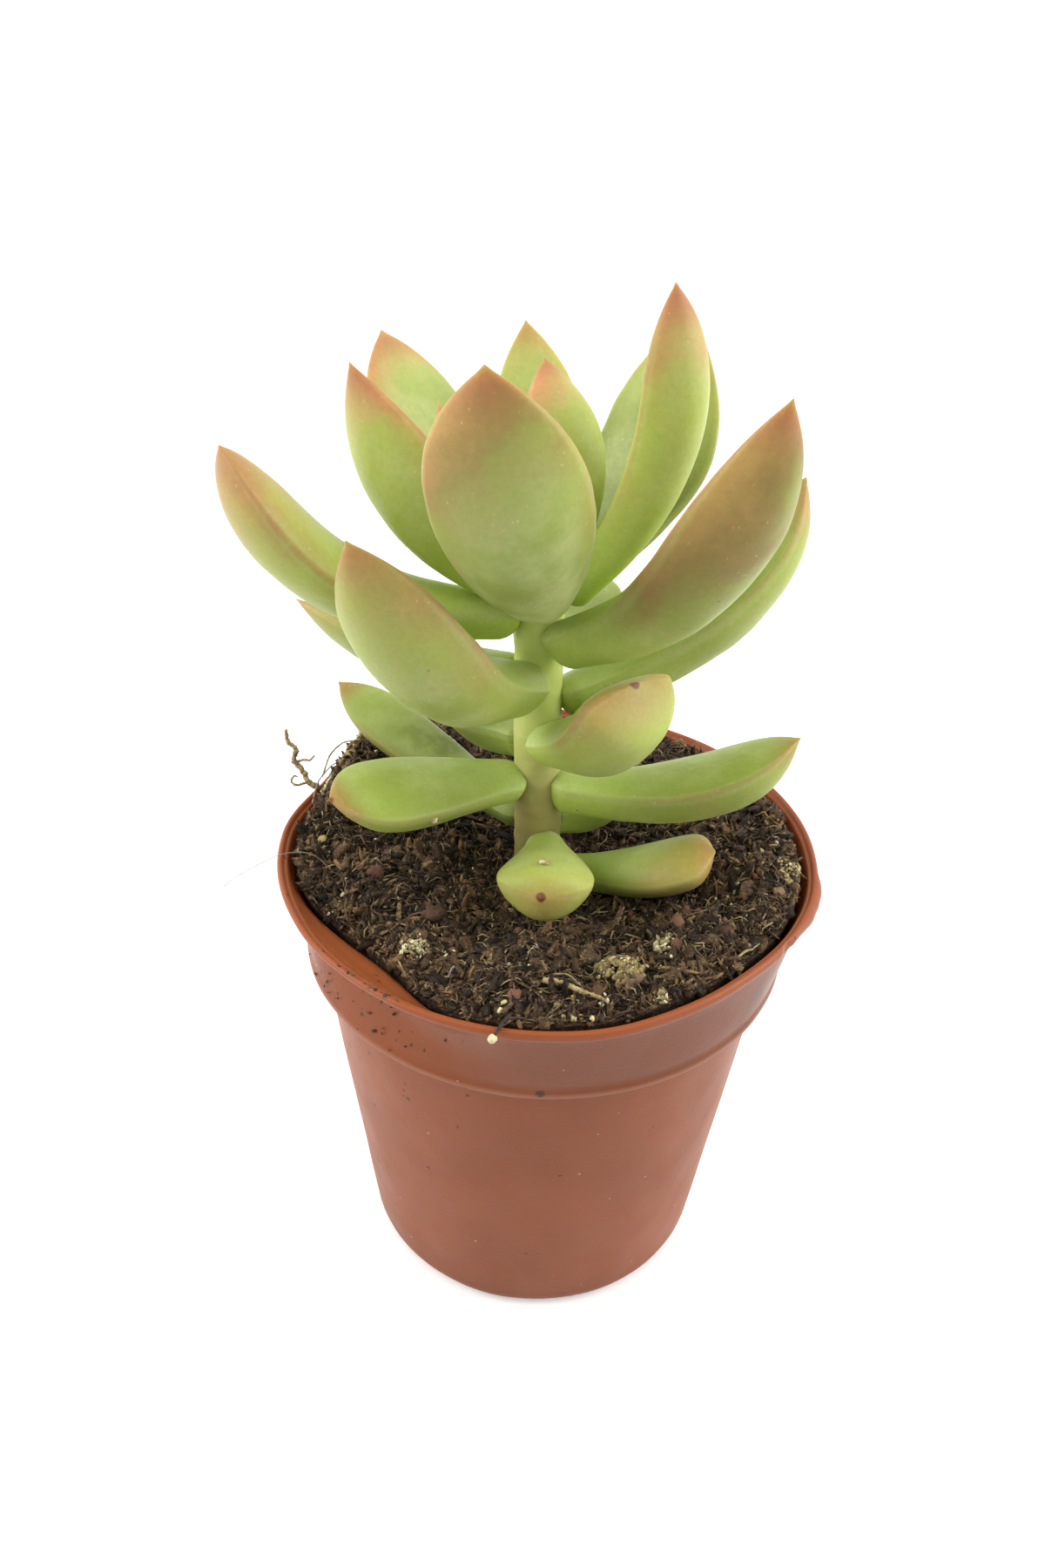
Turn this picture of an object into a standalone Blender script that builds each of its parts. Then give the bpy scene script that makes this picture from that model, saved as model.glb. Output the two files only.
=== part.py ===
"""Potted sedum: one upright succulent stem with thick pointed leaves, in a small thin-walled plastic pot.

Metres, +Z up. The origin is on the pot's axis, on the surface that the pot stands on. -Y is the front.
The pot is a turned shell whose collar is pressed in at the front left. The soil fills it and follows its
wall. The stem stands in a plain hole in the soil, and every leaf is a loft along a bent midline that starts
at the stem. All the angles of the leaves are in degrees, with azimuth 0 along +X and 90 along +Y.
"""

import math
from collections import namedtuple

import bmesh
import bpy
import numpy as np
from mathutils import Vector, noise

# Driving dimensions of the pot
POT_HEIGHT = 0.0500
RIM_RADIUS = 0.0275
RIM_LIP_HEIGHT = 0.0011
RIM_LIP_WIDTH = 0.0012
COLLAR_TOP_RADIUS = 0.0268
COLLAR_FOOT_RADIUS = 0.0248
COLLAR_HEIGHT = 0.0107
BODY_TOP_RADIUS = 0.0234
BODY_FOOT_RADIUS = 0.0187
FOOT_ROUNDING = 0.0022
WALL = 0.0008
FLOOR = 0.0010
FOOT_RING_INNER_RADIUS = 0.0142
CENTRE_PAD_RADIUS = 0.0055
BASE_RECESS = 0.0010
DRAIN_HOLES = 6
DRAIN_HOLE_RADIUS = 0.0022
DRAIN_RING_RADIUS = 0.0098
DRAIN_HOLE_SIDES = 12
POT_SEGMENTS = 56
COLLAR_BANDS = 4
COLLAR_TAPER = (COLLAR_TOP_RADIUS - COLLAR_FOOT_RADIUS) / (COLLAR_HEIGHT - RIM_LIP_HEIGHT)

# The pot's thin wall out of round. Each press pushes it inwards, most at its azimuth and height, and the rim
# has a few low waves. The floor, inside PRESS_FADE_RADIUS, hardly moves.
Press = namedtuple("Press", "azimuth half_angle depth height half_height")
COLLAR_DENT = Press(226, 44, 0.0030, 0.0448, 0.0054)
RIM_PINCH = Press(160, 20, 0.0009, 0.0500, 0.0108)
RIM_FLAT = Press(312, 34, 0.0006, 0.0500, 0.0108)
RIM_WAVES = 3
RIM_WAVE_START = 40
RIM_WAVE_HEIGHT = 0.00015
RIM_WAVE_REACH = 0.0108
PRESS_FADE_RADIUS = BODY_FOOT_RADIUS
PRESS_FADE_POWER = 4

# Gap that touching pieces keep
GAP = 0.0003

# Soil: its level at the wall, the hollow round the stem, the dip behind the pot's dent, the heap at the back
# left and the gap that it keeps to the wall. Then come its mesh and its crumbs, which are lower close to the
# stem.
SOIL_LEVEL = 0.0493
SOIL_HOLLOW_DEPTH = 0.0038
SOIL_HOLLOW_CENTRE = (0.0020, -0.0020)
SOIL_HOLLOW_RADIUS = 0.0220
SOIL_DIP_DEPTH = 0.0044
SOIL_DIP_POWER = 3
SOIL_HEAP_AZIMUTH = 143
SOIL_HEAP_HALF_ANGLE = 36
SOIL_HEAP_HEIGHT = 0.0038
SOIL_HEAP_RADIUS = 0.0235
SOIL_HEAP_REACH = 0.0090
SOIL_EDGE_GAP = 0.0004
SOIL_RINGS = 19
SOIL_SEGMENTS = 72
SOIL_WALL_BANDS = 3
SOIL_CRUMB_SIZE = 0.0036
SOIL_CRUMB_HEIGHT = 0.0014
SOIL_CRUMB_MEAN = 0.5
SOIL_ROLL_SIZE = 0.0070
SOIL_ROLL_HEIGHT = 0.0010
SOIL_CALM_RADIUS = 0.0140
SOIL_CALM_SHARE = 0.7
STEM_HOLE_BOTTOM = 0.0380

# Stem, which tapers above its taper height and swells a little where leaves grow from it
STEM_RADIUS = 0.0023
STEM_TOP = 0.0832
STEM_FOOT_X = -0.0010
STEM_LEAN = -0.025
STEM_TAPER_HEIGHT = 0.0760
STEM_TAPER_SHARE = 0.22
STEM_SWELL_SHARE = 0.02
STEM_SWELL_REACH = 0.0016
STEM_MOST_SWELLS = 2
STEM_POINTS = 14
STEM_BEVEL_RESOLUTION = 3
LEAF_ROOT_OFFSET = 0.0016

# Leaf mesh
LEAF_RINGS = 10
LEAF_SIDES = 14
LEAF_EDGE_POWER = 1.25
LEAF_KNUCKLE = 0.07
MIDLINE_STEPS = 200

COLLECTION_NAME = "potted_sedum"
POT_COLOUR = (0.42, 0.16, 0.08)
SOIL_COLOUR = (0.045, 0.030, 0.018)
STEM_COLOUR = (0.36, 0.36, 0.14)
OLD_LEAF_COLOUR = (0.30, 0.44, 0.10)
YOUNG_LEAF_COLOUR = (0.44, 0.46, 0.17)
POT_ROUGHNESS = 0.45
SOIL_ROUGHNESS = 0.95
STEM_ROUGHNESS = 0.55
LEAF_ROUGHNESS = 0.5
SMOOTH_ANGLE = 40

# How a leaf's width and depth run from its root to its tip: the share at the root, the place of the widest
# point and the power of the fall to the tip, for the width and then for the depth. top is the share of the
# depth that lies above the leaf's margins.
Form = namedtuple("Form", "neck belly blunt deep_neck deep_belly deep_blunt top")
LANCE = Form(0.42, 0.58, 2.0, 0.75, 0.42, 2.0, 0.25)
CROWN = Form(0.34, 0.60, 2.0, 0.70, 0.42, 2.0, 0.25)
EGG = Form(0.40, 0.60, 3.0, 0.70, 0.42, 2.0, 0.25)
CLUB = Form(0.50, 0.66, 3.0, 0.75, 0.55, 3.0, 0.25)
SPOON = Form(0.42, 0.68, 3.4, 0.75, 0.60, 3.4, 0.45)
DROP = Form(0.40, 0.66, 2.6, 0.75, 0.70, 4.3, 0.36)
BEAN = Form(0.37, 0.71, 5.3, 0.75, 0.60, 4.3, 0.38)
THUMB = Form(0.49, 0.79, 5.4, 0.60, 0.60, 4.7, 0.26)

# height is where the leaf sits on the stem and seat the side of the stem that it grows from. It sets off
# towards heading at the angle rise above level, turns up by curl and sideways by sweep on its way to the
# tip, and is rolled about its midline: by roll at its root, and by twist more on its way to the tip.
Leaf = namedtuple("Leaf", "name height seat heading rise curl length width depth roll sweep twist form")
LEAVES = (
    Leaf("leaf_foot_front", 0.0517, -61, -84, 6, 7, 0.0122, 0.0092, 0.0055, -1, -13, 0, DROP),
    Leaf("leaf_foot_right", 0.0480, -23, -23, 9, 21, 0.0177, 0.0073, 0.0048, -4, 14, 0, BEAN),
    Leaf("leaf_foot_back_right", 0.0535, 40, 40, -5, 10, 0.0100, 0.0070, 0.0050, 0, 0, 0, LANCE),
    Leaf("leaf_low_right", 0.0587, -39, -1, -4, 37, 0.0251, 0.0084, 0.0058, 4, 1, 6, CLUB),
    Leaf("leaf_low_left", 0.0591, -145, -156, 8, 0, 0.0204, 0.0093, 0.0053, 7, 11, 0, CLUB),
    Leaf("leaf_low_back_left", 0.0532, 144, 144, 9, 11, 0.0258, 0.0061, 0.0054, 15, 5, 0, CLUB),
    Leaf("leaf_low_back", 0.0626, 125, 125, -8, 10, 0.0140, 0.0095, 0.0055, 0, 0, 0, LANCE),
    Leaf("leaf_middle_front_right", 0.0642, -87, -39, 24, 37, 0.0148, 0.0117, 0.0070, -3, 2, 12, THUMB),
    Leaf("leaf_middle_right", 0.0676, 23, 23, 16, 43, 0.0321, 0.0116, 0.0062, 21, -1, -12, CLUB),
    Leaf("leaf_middle_front_left", 0.0704, -79, -127, 23, 39, 0.0319, 0.0114, 0.0070, 16, -8, -57, LANCE),
    Leaf("leaf_middle_back_left", 0.0708, 161, 161, -6, 23, 0.0240, 0.0095, 0.0048, -29, 4, 0, LANCE),
    Leaf("leaf_upper_front_right", 0.0746, -67, -29, 31, 40, 0.0366, 0.0109, 0.0061, 3, -23, 22, LANCE),
    Leaf("leaf_upper_back", 0.0744, 69, 69, -6, 20, 0.0118, 0.0088, 0.0050, 0, 0, 0, CLUB),
    Leaf("leaf_upper_left", 0.0766, -162, -165, 7, 57, 0.0339, 0.0119, 0.0060, -19, 17, 25, SPOON),
    Leaf("leaf_crown_front", 0.0800, -88, -88, 29, 45, 0.0341, 0.0124, 0.0063, -22, -33, 0, EGG),
    Leaf("leaf_crown_right", 0.0786, -13, -13, 52, 42, 0.0306, 0.0068, 0.0048, 21, -12, 0, CLUB),
    Leaf("leaf_crown_back_right", 0.0780, 39, 39, 37, 45, 0.0284, 0.0123, 0.0051, -12, -6, 0, LANCE),
    Leaf("leaf_crown_left", 0.0790, -158, -158, 44, 22, 0.0260, 0.0109, 0.0053, -45, -20, 0, LANCE),
    Leaf("leaf_crown_back_left", 0.0793, 131, 131, 28, 27, 0.0274, 0.0129, 0.0045, -9, 12, 0, EGG),
    Leaf("leaf_crown_back", 0.0822, 88, 88, 34, 22, 0.0226, 0.0078, 0.0040, 10, 23, 0, CROWN),
    Leaf("leaf_inner_right", 0.0816, 7, -47, 82, 40, 0.0181, 0.0095, 0.0047, -23, -18, 0, LANCE),
    Leaf("leaf_inner_left", 0.0824, 172, 172, 45, 30, 0.0153, 0.0050, 0.0032, 0, 0, 0, LANCE),
)

# The folded bud of the growing tip, which is one piece with the stem
BUD_ROOT_OFFSET = 0.0004
BUD = Leaf("bud", 0.0824, 150, 150, 82, 10, 0.0064, 0.0024, 0.0020, 0, 0, 0, LANCE)

# The leaf that gives way where two would touch near the stem, and the neighbours that it is trimmed by
TRIMS = {
    "leaf_foot_right": ("leaf_foot_front",),
    "leaf_low_back_left": ("leaf_low_left",),
    "leaf_middle_back_left": ("leaf_middle_front_left",),
    "leaf_upper_left": ("leaf_crown_left",),
    "leaf_crown_right": ("leaf_crown_front", "leaf_crown_back_right"),
    "leaf_crown_left": ("leaf_crown_front",),
    "leaf_crown_back_left": ("leaf_crown_left",),
    "leaf_inner_right": ("leaf_crown_right",),
}


def clear_scene():
    """Remove the objects that a new scene starts with."""
    for obj in list(bpy.data.objects):
        bpy.data.objects.remove(obj, do_unlink=True)


def new_collection(name):
    """Make a collection in the scene."""
    collection = bpy.data.collections.new(name)
    bpy.context.scene.collection.children.link(collection)
    return collection


def new_material(name, colour, roughness):
    """Make a Principled BSDF material with a plain colour."""
    material = bpy.data.materials.new(name)
    material.use_nodes = True
    shader = material.node_tree.nodes["Principled BSDF"]
    shader.inputs["Base Color"].default_value = (*colour, 1.0)
    shader.inputs["Roughness"].default_value = roughness
    shader.inputs["Metallic"].default_value = 0.0
    material.diffuse_color = (*colour, 1.0)
    return material


def mesh_object(name, points, faces, collection):
    """Make an object from points and faces, with its faces turned outwards."""
    mesh = bpy.data.meshes.new(name)
    mesh.from_pydata([tuple(point) for point in points], [], [tuple(face) for face in faces])
    turned = bmesh.new()
    turned.from_mesh(mesh)
    bmesh.ops.recalc_face_normals(turned, faces=turned.faces)
    turned.to_mesh(mesh)
    turned.free()
    obj = bpy.data.objects.new(name, mesh)
    collection.objects.link(obj)
    return obj


def finish(obj, parent, material):
    """Give a piece its material and shading, and parent it to the object's empty."""
    obj.data.materials.clear()
    obj.data.materials.append(material)
    obj.data.shade_smooth()
    obj.data.set_sharp_from_angle(angle=math.radians(SMOOTH_ANGLE))
    obj.parent = parent


def as_helper(obj):
    """Mark a cutter, which is no part of the object."""
    obj.hide_render = True
    obj.display_type = "WIRE"


def cut(obj, cutter, operation="DIFFERENCE"):
    """Add an exact Boolean to a piece."""
    modifier = obj.modifiers.new(cutter.name, "BOOLEAN")
    modifier.operation = operation
    modifier.solver = "EXACT"
    modifier.object = cutter


def evaluated_mesh(obj):
    """Copy the mesh that an object's modifiers or curve settings make."""
    bpy.context.view_layer.update()
    graph = bpy.context.evaluated_depsgraph_get()
    return bpy.data.meshes.new_from_object(obj.evaluated_get(graph))


def bump(distance, half_width):
    """A smooth bump: 1 at no distance, falling to 0 at half_width and beyond."""
    share = np.clip(np.abs(distance) / half_width, 0.0, 1.0)
    return np.cos(share * math.pi / 2) ** 2


def angle_between(azimuth, other):
    """The angle in degrees between two azimuths, at most 180."""
    return np.abs((azimuth - other + 180.0) % 360.0 - 180.0)


def wall_shift(azimuth, height):
    """How far the pot's wall stands out of its turned circle, negative inwards."""
    wave = math.sin(math.radians(RIM_WAVES * azimuth + RIM_WAVE_START))
    shift = RIM_WAVE_HEIGHT * wave * float(bump(height - POT_HEIGHT, RIM_WAVE_REACH))
    for press in (COLLAR_DENT, RIM_PINCH, RIM_FLAT):
        across = float(bump(angle_between(azimuth, press.azimuth), press.half_angle))
        shift -= press.depth * across * float(bump(height - press.height, press.half_height))
    return shift


def press_wall(mesh):
    """Move each point of a turned wall by the wall's shift, fading out towards the middle of the floor."""
    for vertex in mesh.vertices:
        x, y, z = vertex.co
        radius = math.hypot(x, y)
        if radius > WALL:
            share = min(1.0, radius / PRESS_FADE_RADIUS) ** PRESS_FADE_POWER
            factor = 1 + share * wall_shift(math.degrees(math.atan2(y, x)), z) / radius
            vertex.co = (x * factor, y * factor, z)


def screw_object(name, profile, steps, collection):
    """Turn a profile of (radius, height) points about Z and return the closed solid as a mesh object."""
    mesh = bpy.data.meshes.new(name)
    edges = [(i, i + 1) for i in range(len(profile) - 1)]
    mesh.from_pydata([(radius, 0.0, height) for radius, height in profile], edges, [])
    turning = bpy.data.objects.new(name + "_profile", mesh)
    collection.objects.link(turning)
    screw = turning.modifiers.new("turn", "SCREW")
    screw.steps = screw.render_steps = steps
    screw.use_merge_vertices = True
    screw.merge_threshold = 0.00001
    obj = bpy.data.objects.new(name, evaluated_mesh(turning))
    collection.objects.link(obj)
    bpy.data.objects.remove(turning, do_unlink=True)
    return obj


def arc(centre, radius, start, stop, count):
    """Points of an arc in the profile's plane, with angles in degrees from the outward direction."""
    angles = np.radians(np.linspace(start, stop, count))
    return [(centre[0] + radius * math.cos(a), centre[1] + radius * math.sin(a)) for a in angles]


def body_radius(height):
    """The outer radius of the pot's body below the collar."""
    share = height / (POT_HEIGHT - COLLAR_HEIGHT)
    return BODY_FOOT_RADIUS + (BODY_TOP_RADIUS - BODY_FOOT_RADIUS) * share


def collar_points():
    """The outer side of the collar between its foot and the lip, as (radius, height) points upwards."""
    ledge = POT_HEIGHT - COLLAR_HEIGHT
    heights = np.linspace(ledge, POT_HEIGHT - RIM_LIP_HEIGHT, COLLAR_BANDS + 1)[1:-1]
    return [(COLLAR_FOOT_RADIUS + (height - ledge) * COLLAR_TAPER, height) for height in heights]


def inner_wall():
    """The pot's inner wall, from the floor up to the lip, as (radius, height) points."""
    ledge = POT_HEIGHT - COLLAR_HEIGHT
    lip = POT_HEIGHT - RIM_LIP_HEIGHT
    floor_top = BASE_RECESS + FLOOR
    return [
        (body_radius(floor_top) - WALL - FOOT_ROUNDING / 2, floor_top),
        (body_radius(floor_top + FOOT_ROUNDING) - WALL, floor_top + FOOT_ROUNDING),
        (body_radius(ledge / 2) - WALL, ledge / 2),
        (body_radius(ledge) - WALL, ledge - WALL),
        (COLLAR_FOOT_RADIUS - WALL, ledge + WALL),
        *[(radius - WALL, height) for radius, height in collar_points()],
        (COLLAR_TOP_RADIUS - WALL, lip - WALL),
    ]


def pot_profile():
    """The pot's section: out along the floor, up the inner wall, over the lip, down the outside, in below."""
    ledge = POT_HEIGHT - COLLAR_HEIGHT
    lip = POT_HEIGHT - RIM_LIP_HEIGHT
    rounding = RIM_LIP_HEIGHT / 2
    lip_inner = RIM_RADIUS - RIM_LIP_WIDTH
    foot = (body_radius(FOOT_ROUNDING) - FOOT_ROUNDING, FOOT_ROUNDING)
    outside = [
        (RIM_RADIUS - rounding / 2, lip),
        (COLLAR_TOP_RADIUS, lip - rounding / 2),
        *collar_points()[::-1],
        (COLLAR_FOOT_RADIUS, ledge + rounding / 2),
        (COLLAR_FOOT_RADIUS - rounding / 2, ledge),
        (body_radius(ledge), ledge - rounding),
        (body_radius(ledge / 2), ledge / 2),
    ]
    below = [
        (FOOT_RING_INNER_RADIUS, 0.0),
        (FOOT_RING_INNER_RADIUS - BASE_RECESS, BASE_RECESS),
        (CENTRE_PAD_RADIUS + BASE_RECESS, BASE_RECESS),
        (CENTRE_PAD_RADIUS, 0.0),
        (0.0, 0.0),
    ]
    over_lip = [
        (lip_inner, lip - rounding / 2),
        (lip_inner + rounding / 2, POT_HEIGHT - rounding / 3),
        (lip_inner + rounding, POT_HEIGHT),
        (RIM_RADIUS - rounding, POT_HEIGHT),
        (RIM_RADIUS, POT_HEIGHT - rounding),
    ]
    floor = [(0.0, BASE_RECESS + FLOOR), (CENTRE_PAD_RADIUS, BASE_RECESS + FLOOR)]
    rounded_foot = arc(foot, FOOT_ROUNDING, 0, -90, 5)
    return floor + inner_wall() + over_lip + outside + rounded_foot + below


def move_to(obj, collection):
    """Move an object that an operator made into a collection."""
    for old in list(obj.users_collection):
        old.objects.unlink(obj)
    collection.objects.link(obj)


def make_pot(parts, cutters):
    """The pot: turned, pressed out of round and drilled in its base."""
    pot = screw_object("pot", pot_profile(), POT_SEGMENTS, parts)
    press_wall(pot.data)
    for i in range(DRAIN_HOLES):
        turn = 2 * math.pi * i / DRAIN_HOLES
        bpy.ops.mesh.primitive_cylinder_add(
            vertices=DRAIN_HOLE_SIDES,
            radius=DRAIN_HOLE_RADIUS,
            depth=4 * (BASE_RECESS + FLOOR),
            location=(DRAIN_RING_RADIUS * math.cos(turn), DRAIN_RING_RADIUS * math.sin(turn), 0.0),
        )
        drill = bpy.context.active_object
        drill.name = "drain_hole_cutter_" + str(i + 1)
        move_to(drill, cutters)
        as_helper(drill)
        cut(pot, drill)
    return pot


def soil_crumbs(x, y):
    """The relief of the soil's surface: rounded crumbs on low rolls, as a height."""
    place = Vector((x, y, 0.0))
    to_crumb = noise.voronoi(place / SOIL_CRUMB_SIZE)[0][0]
    crumb = max(0.0, 1.0 - to_crumb * to_crumb)
    roll = noise.noise(place / SOIL_ROLL_SIZE)
    return SOIL_CRUMB_HEIGHT * (crumb - SOIL_CRUMB_MEAN) + SOIL_ROLL_HEIGHT * roll


def soil_height(x, y):
    """The height of the soil's surface: hollowed round the stem, dipped along the pot's dent and heaped."""
    radius = math.hypot(x, y)
    azimuth = math.degrees(math.atan2(y, x))
    from_hollow = math.hypot(x - SOIL_HOLLOW_CENTRE[0], y - SOIL_HOLLOW_CENTRE[1])
    hollow = float(bump(from_hollow, SOIL_HOLLOW_RADIUS))
    dip = float(bump(angle_between(azimuth, COLLAR_DENT.azimuth), COLLAR_DENT.half_angle))
    dip *= min(1.0, radius / BODY_TOP_RADIUS) ** SOIL_DIP_POWER
    heap = float(bump(angle_between(azimuth, SOIL_HEAP_AZIMUTH), SOIL_HEAP_HALF_ANGLE))
    heap *= float(bump(radius - SOIL_HEAP_RADIUS, SOIL_HEAP_REACH))
    level = SOIL_LEVEL - SOIL_HOLLOW_DEPTH * hollow - SOIL_DIP_DEPTH * dip + SOIL_HEAP_HEIGHT * heap
    calm = 1.0 - SOIL_CALM_SHARE * float(bump(from_hollow, SOIL_CALM_RADIUS))
    return level + calm * soil_crumbs(x, y)


def soil_wall_radius(height):
    """The radius of the soil where it meets the collar's inner wall, or the lip above it."""
    return COLLAR_TOP_RADIUS - WALL - SOIL_EDGE_GAP - max(0.0, POT_HEIGHT - height) * COLLAR_TAPER


def raised_soil_point(point, low, edge):
    """Raise a point of the plug's level top to the surface, or of its wall in step with the surface."""
    x, y, z = point
    wall_radius = soil_wall_radius(z)
    outwards = edge / wall_radius
    height = low + (z - low) / (SOIL_LEVEL - low) * (soil_height(x * outwards, y * outwards) - low)
    narrowing = soil_wall_radius(height) / wall_radius
    return x * narrowing, y * narrowing, height


def make_soil(parts, cutters):
    """The soil: a turned plug that fills the pot, with its top raised into crumbs and a hole for the stem."""
    low = POT_HEIGHT - COLLAR_HEIGHT + WALL
    wall = [(radius - GAP, height) for radius, height in inner_wall() if height < low + WALL]
    wall[0] = (wall[0][0], wall[0][1] + GAP)
    edge = soil_wall_radius(SOIL_LEVEL)
    top = [(edge * i / SOIL_RINGS, SOIL_LEVEL) for i in range(SOIL_RINGS + 1)]
    heights = np.linspace(SOIL_LEVEL, low, SOIL_WALL_BANDS + 1)[1:-1]
    collar = [(soil_wall_radius(height), height) for height in heights]
    profile = top + collar + wall[::-1] + [(0.0, wall[0][1])]
    soil = screw_object("soil", profile, SOIL_SEGMENTS, parts)
    for vertex in soil.data.vertices:
        if vertex.co.z > low + GAP:
            vertex.co = raised_soil_point(vertex.co, low, edge)
    press_wall(soil.data)
    hole = stem_tube("stem_hole_cutter", cutters, GAP, STEM_HOLE_BOTTOM - GAP, POT_HEIGHT + STEM_RADIUS)
    as_helper(hole)
    cut(soil, hole)
    return soil


def stem_centre(height):
    """The stem's centre at a height: it leans a little to the left on its way up."""
    return Vector((STEM_FOOT_X + STEM_LEAN * (height - POT_HEIGHT), 0.0, height))


def stem_radius(height):
    """The stem's radius: it swells a little at each leaf and tapers to the growing tip."""
    swell = sum(float(bump(height - leaf.height, STEM_SWELL_REACH)) for leaf in LEAVES)
    above = float(np.clip((height - STEM_TAPER_HEIGHT) / (STEM_TOP - STEM_TAPER_HEIGHT), 0.0, 1.0))
    taper = 1.0 - STEM_TAPER_SHARE * above
    return STEM_RADIUS * taper * (1.0 + STEM_SWELL_SHARE * min(swell, STEM_MOST_SWELLS))


def stem_tube(name, collection, grow, bottom, top):
    """A tube along the stem's centre line, grown by a margin, as a closed mesh."""
    curve = bpy.data.curves.new(name, "CURVE")
    curve.dimensions = "3D"
    curve.bevel_depth = 1.0
    curve.bevel_resolution = STEM_BEVEL_RESOLUTION
    curve.use_fill_caps = True
    spline = curve.splines.new("POLY")
    spline.points.add(STEM_POINTS - 1)
    for point, height in zip(spline.points, np.linspace(bottom, top, STEM_POINTS)):
        point.co = (*stem_centre(float(height)), 1.0)
        point.radius = stem_radius(float(height)) + grow
    tube = bpy.data.objects.new(name + "_curve", curve)
    collection.objects.link(tube)
    mesh = evaluated_mesh(tube)
    welded = bmesh.new()
    welded.from_mesh(mesh)
    bmesh.ops.remove_doubles(welded, verts=welded.verts, dist=0.000001)
    bmesh.ops.recalc_face_normals(welded, faces=welded.faces)
    welded.to_mesh(mesh)
    welded.free()
    obj = bpy.data.objects.new(name, mesh)
    collection.objects.link(obj)
    bpy.data.objects.remove(tube, do_unlink=True)
    return obj


def ease(share):
    """Smooth step from 0 to 1."""
    share = np.clip(share, 0.0, 1.0)
    return share * share * (3 - 2 * share)


def outline(along, neck, belly, blunt):
    """A leaf's width or depth along it: from the neck up to 1 at the belly, then down to 0 at the tip."""
    rising = neck + (1 - neck) * ease(along / belly)
    falling = 1 - np.clip((along - belly) / (1 - belly), 0.0, 1.0) ** blunt
    return np.where(along < belly, rising, falling)


def leaf_midline(leaf, root, along):
    """Points along the leaf's bent midline, with the forward, sideways and upward directions there."""
    fine = np.linspace(0.0, 1.0, MIDLINE_STEPS)
    pitch = np.radians(leaf.rise + leaf.curl * ease(fine))
    turn = np.radians(leaf.heading + leaf.sweep * fine)
    forward = np.stack([np.cos(pitch) * np.cos(turn), np.cos(pitch) * np.sin(turn), np.sin(pitch)], -1)
    steps = (forward[1:] + forward[:-1]) / 2 * leaf.length / (MIDLINE_STEPS - 1)
    path = np.concatenate([np.zeros((1, 3)), np.cumsum(steps, axis=0)]) + root
    up = np.stack([-np.sin(pitch) * np.cos(turn), -np.sin(pitch) * np.sin(turn), np.cos(pitch)], -1)
    side = np.cross(forward, up)
    roll = np.radians(leaf.roll + leaf.twist * fine)[:, None]
    rolled_side = np.cos(roll) * side + np.sin(roll) * up
    rolled_up = np.cos(roll) * up - np.sin(roll) * side
    fields = []
    for field in (path, rolled_side, rolled_up):
        fields.append(np.stack([np.interp(along, fine, field[:, axis]) for axis in range(3)], -1))
    return fields


def leaf_object(leaf, collection, grow=0.0, root_offset=LEAF_ROOT_OFFSET):
    """A leaf: rings of a pointed lens shape lofted along its midline, closed by a point at each end."""
    seat = math.radians(leaf.seat)
    to_seat = np.array([math.cos(seat), math.sin(seat), 0.0])
    root = np.array(stem_centre(leaf.height)) + root_offset * to_seat
    along = (1 - np.cos(np.linspace(0.0, math.pi, LEAF_RINGS + 2))) / 2
    centre, side, up = leaf_midline(leaf, root, along)
    form = leaf.form
    knuckle = np.sqrt(1 - (1 - np.clip(along / LEAF_KNUCKLE, 0.0, 1.0)) ** 2)
    half_width = leaf.width / 2 * outline(along, form.neck, form.belly, form.blunt) * knuckle + grow
    depth = leaf.depth * outline(along, form.deep_neck, form.deep_belly, form.deep_blunt) * knuckle
    turn = 2 * math.pi * np.arange(LEAF_SIDES) / LEAF_SIDES
    lens = np.abs(np.sin(turn)) ** LEAF_EDGE_POWER
    upper = np.outer(depth * form.top + grow, lens)
    lower = np.outer(depth * (1 - form.top) + grow, lens)
    level = np.where(np.sin(turn) < 0, -lower, upper)
    across = np.outer(half_width, np.cos(turn))
    rings = centre[:, None] + across[..., None] * side[:, None] + level[..., None] * up[:, None]
    points = np.concatenate([centre[:1], rings[1:-1].reshape(-1, 3), centre[-1:]])
    return mesh_object(leaf.name, points, loft_faces(LEAF_RINGS, LEAF_SIDES), collection)


def loft_faces(rings, sides):
    """Faces of a loft whose first and last points close it: a fan, bands of two triangles and a fan."""
    faces = []
    last = rings * sides + 1
    for j in range(sides):
        after = (j + 1) % sides
        faces.append((0, 1 + j, 1 + after))
        faces.append((last, last - sides + after, last - sides + j))
        for i in range(rings - 1):
            low = 1 + i * sides
            high = low + sides
            faces.append((low + j, high + j, high + after))
            faces.append((low + j, high + after, low + after))
    return faces


def make_stem(parts, cutters):
    """The stem, with the bud of its growing tip joined on."""
    stem = stem_tube("stem", parts, 0.0, STEM_HOLE_BOTTOM, STEM_TOP)
    bud = leaf_object(BUD, cutters, root_offset=BUD_ROOT_OFFSET)
    as_helper(bud)
    cut(stem, bud, "UNION")
    return stem


def make_leaves(parts, cutters):
    """Every leaf, trimmed to clear the stem and the few neighbours that it would touch."""
    sleeve = stem_tube("stem_sleeve_cutter", cutters, GAP, SOIL_LEVEL - 2 * STEM_RADIUS, STEM_TOP + GAP)
    as_helper(sleeve)
    by_name = {leaf.name: leaf for leaf in LEAVES}
    leaves = {}
    for leaf in LEAVES:
        piece = leaf_object(leaf, parts)
        cut(piece, sleeve)
        for other in TRIMS.get(leaf.name, ()):
            grown = leaf_object(by_name[other]._replace(name=other + "_cutter"), cutters, grow=GAP)
            as_helper(grown)
            cut(piece, grown)
        leaves[leaf.name] = piece
    return leaves


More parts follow.
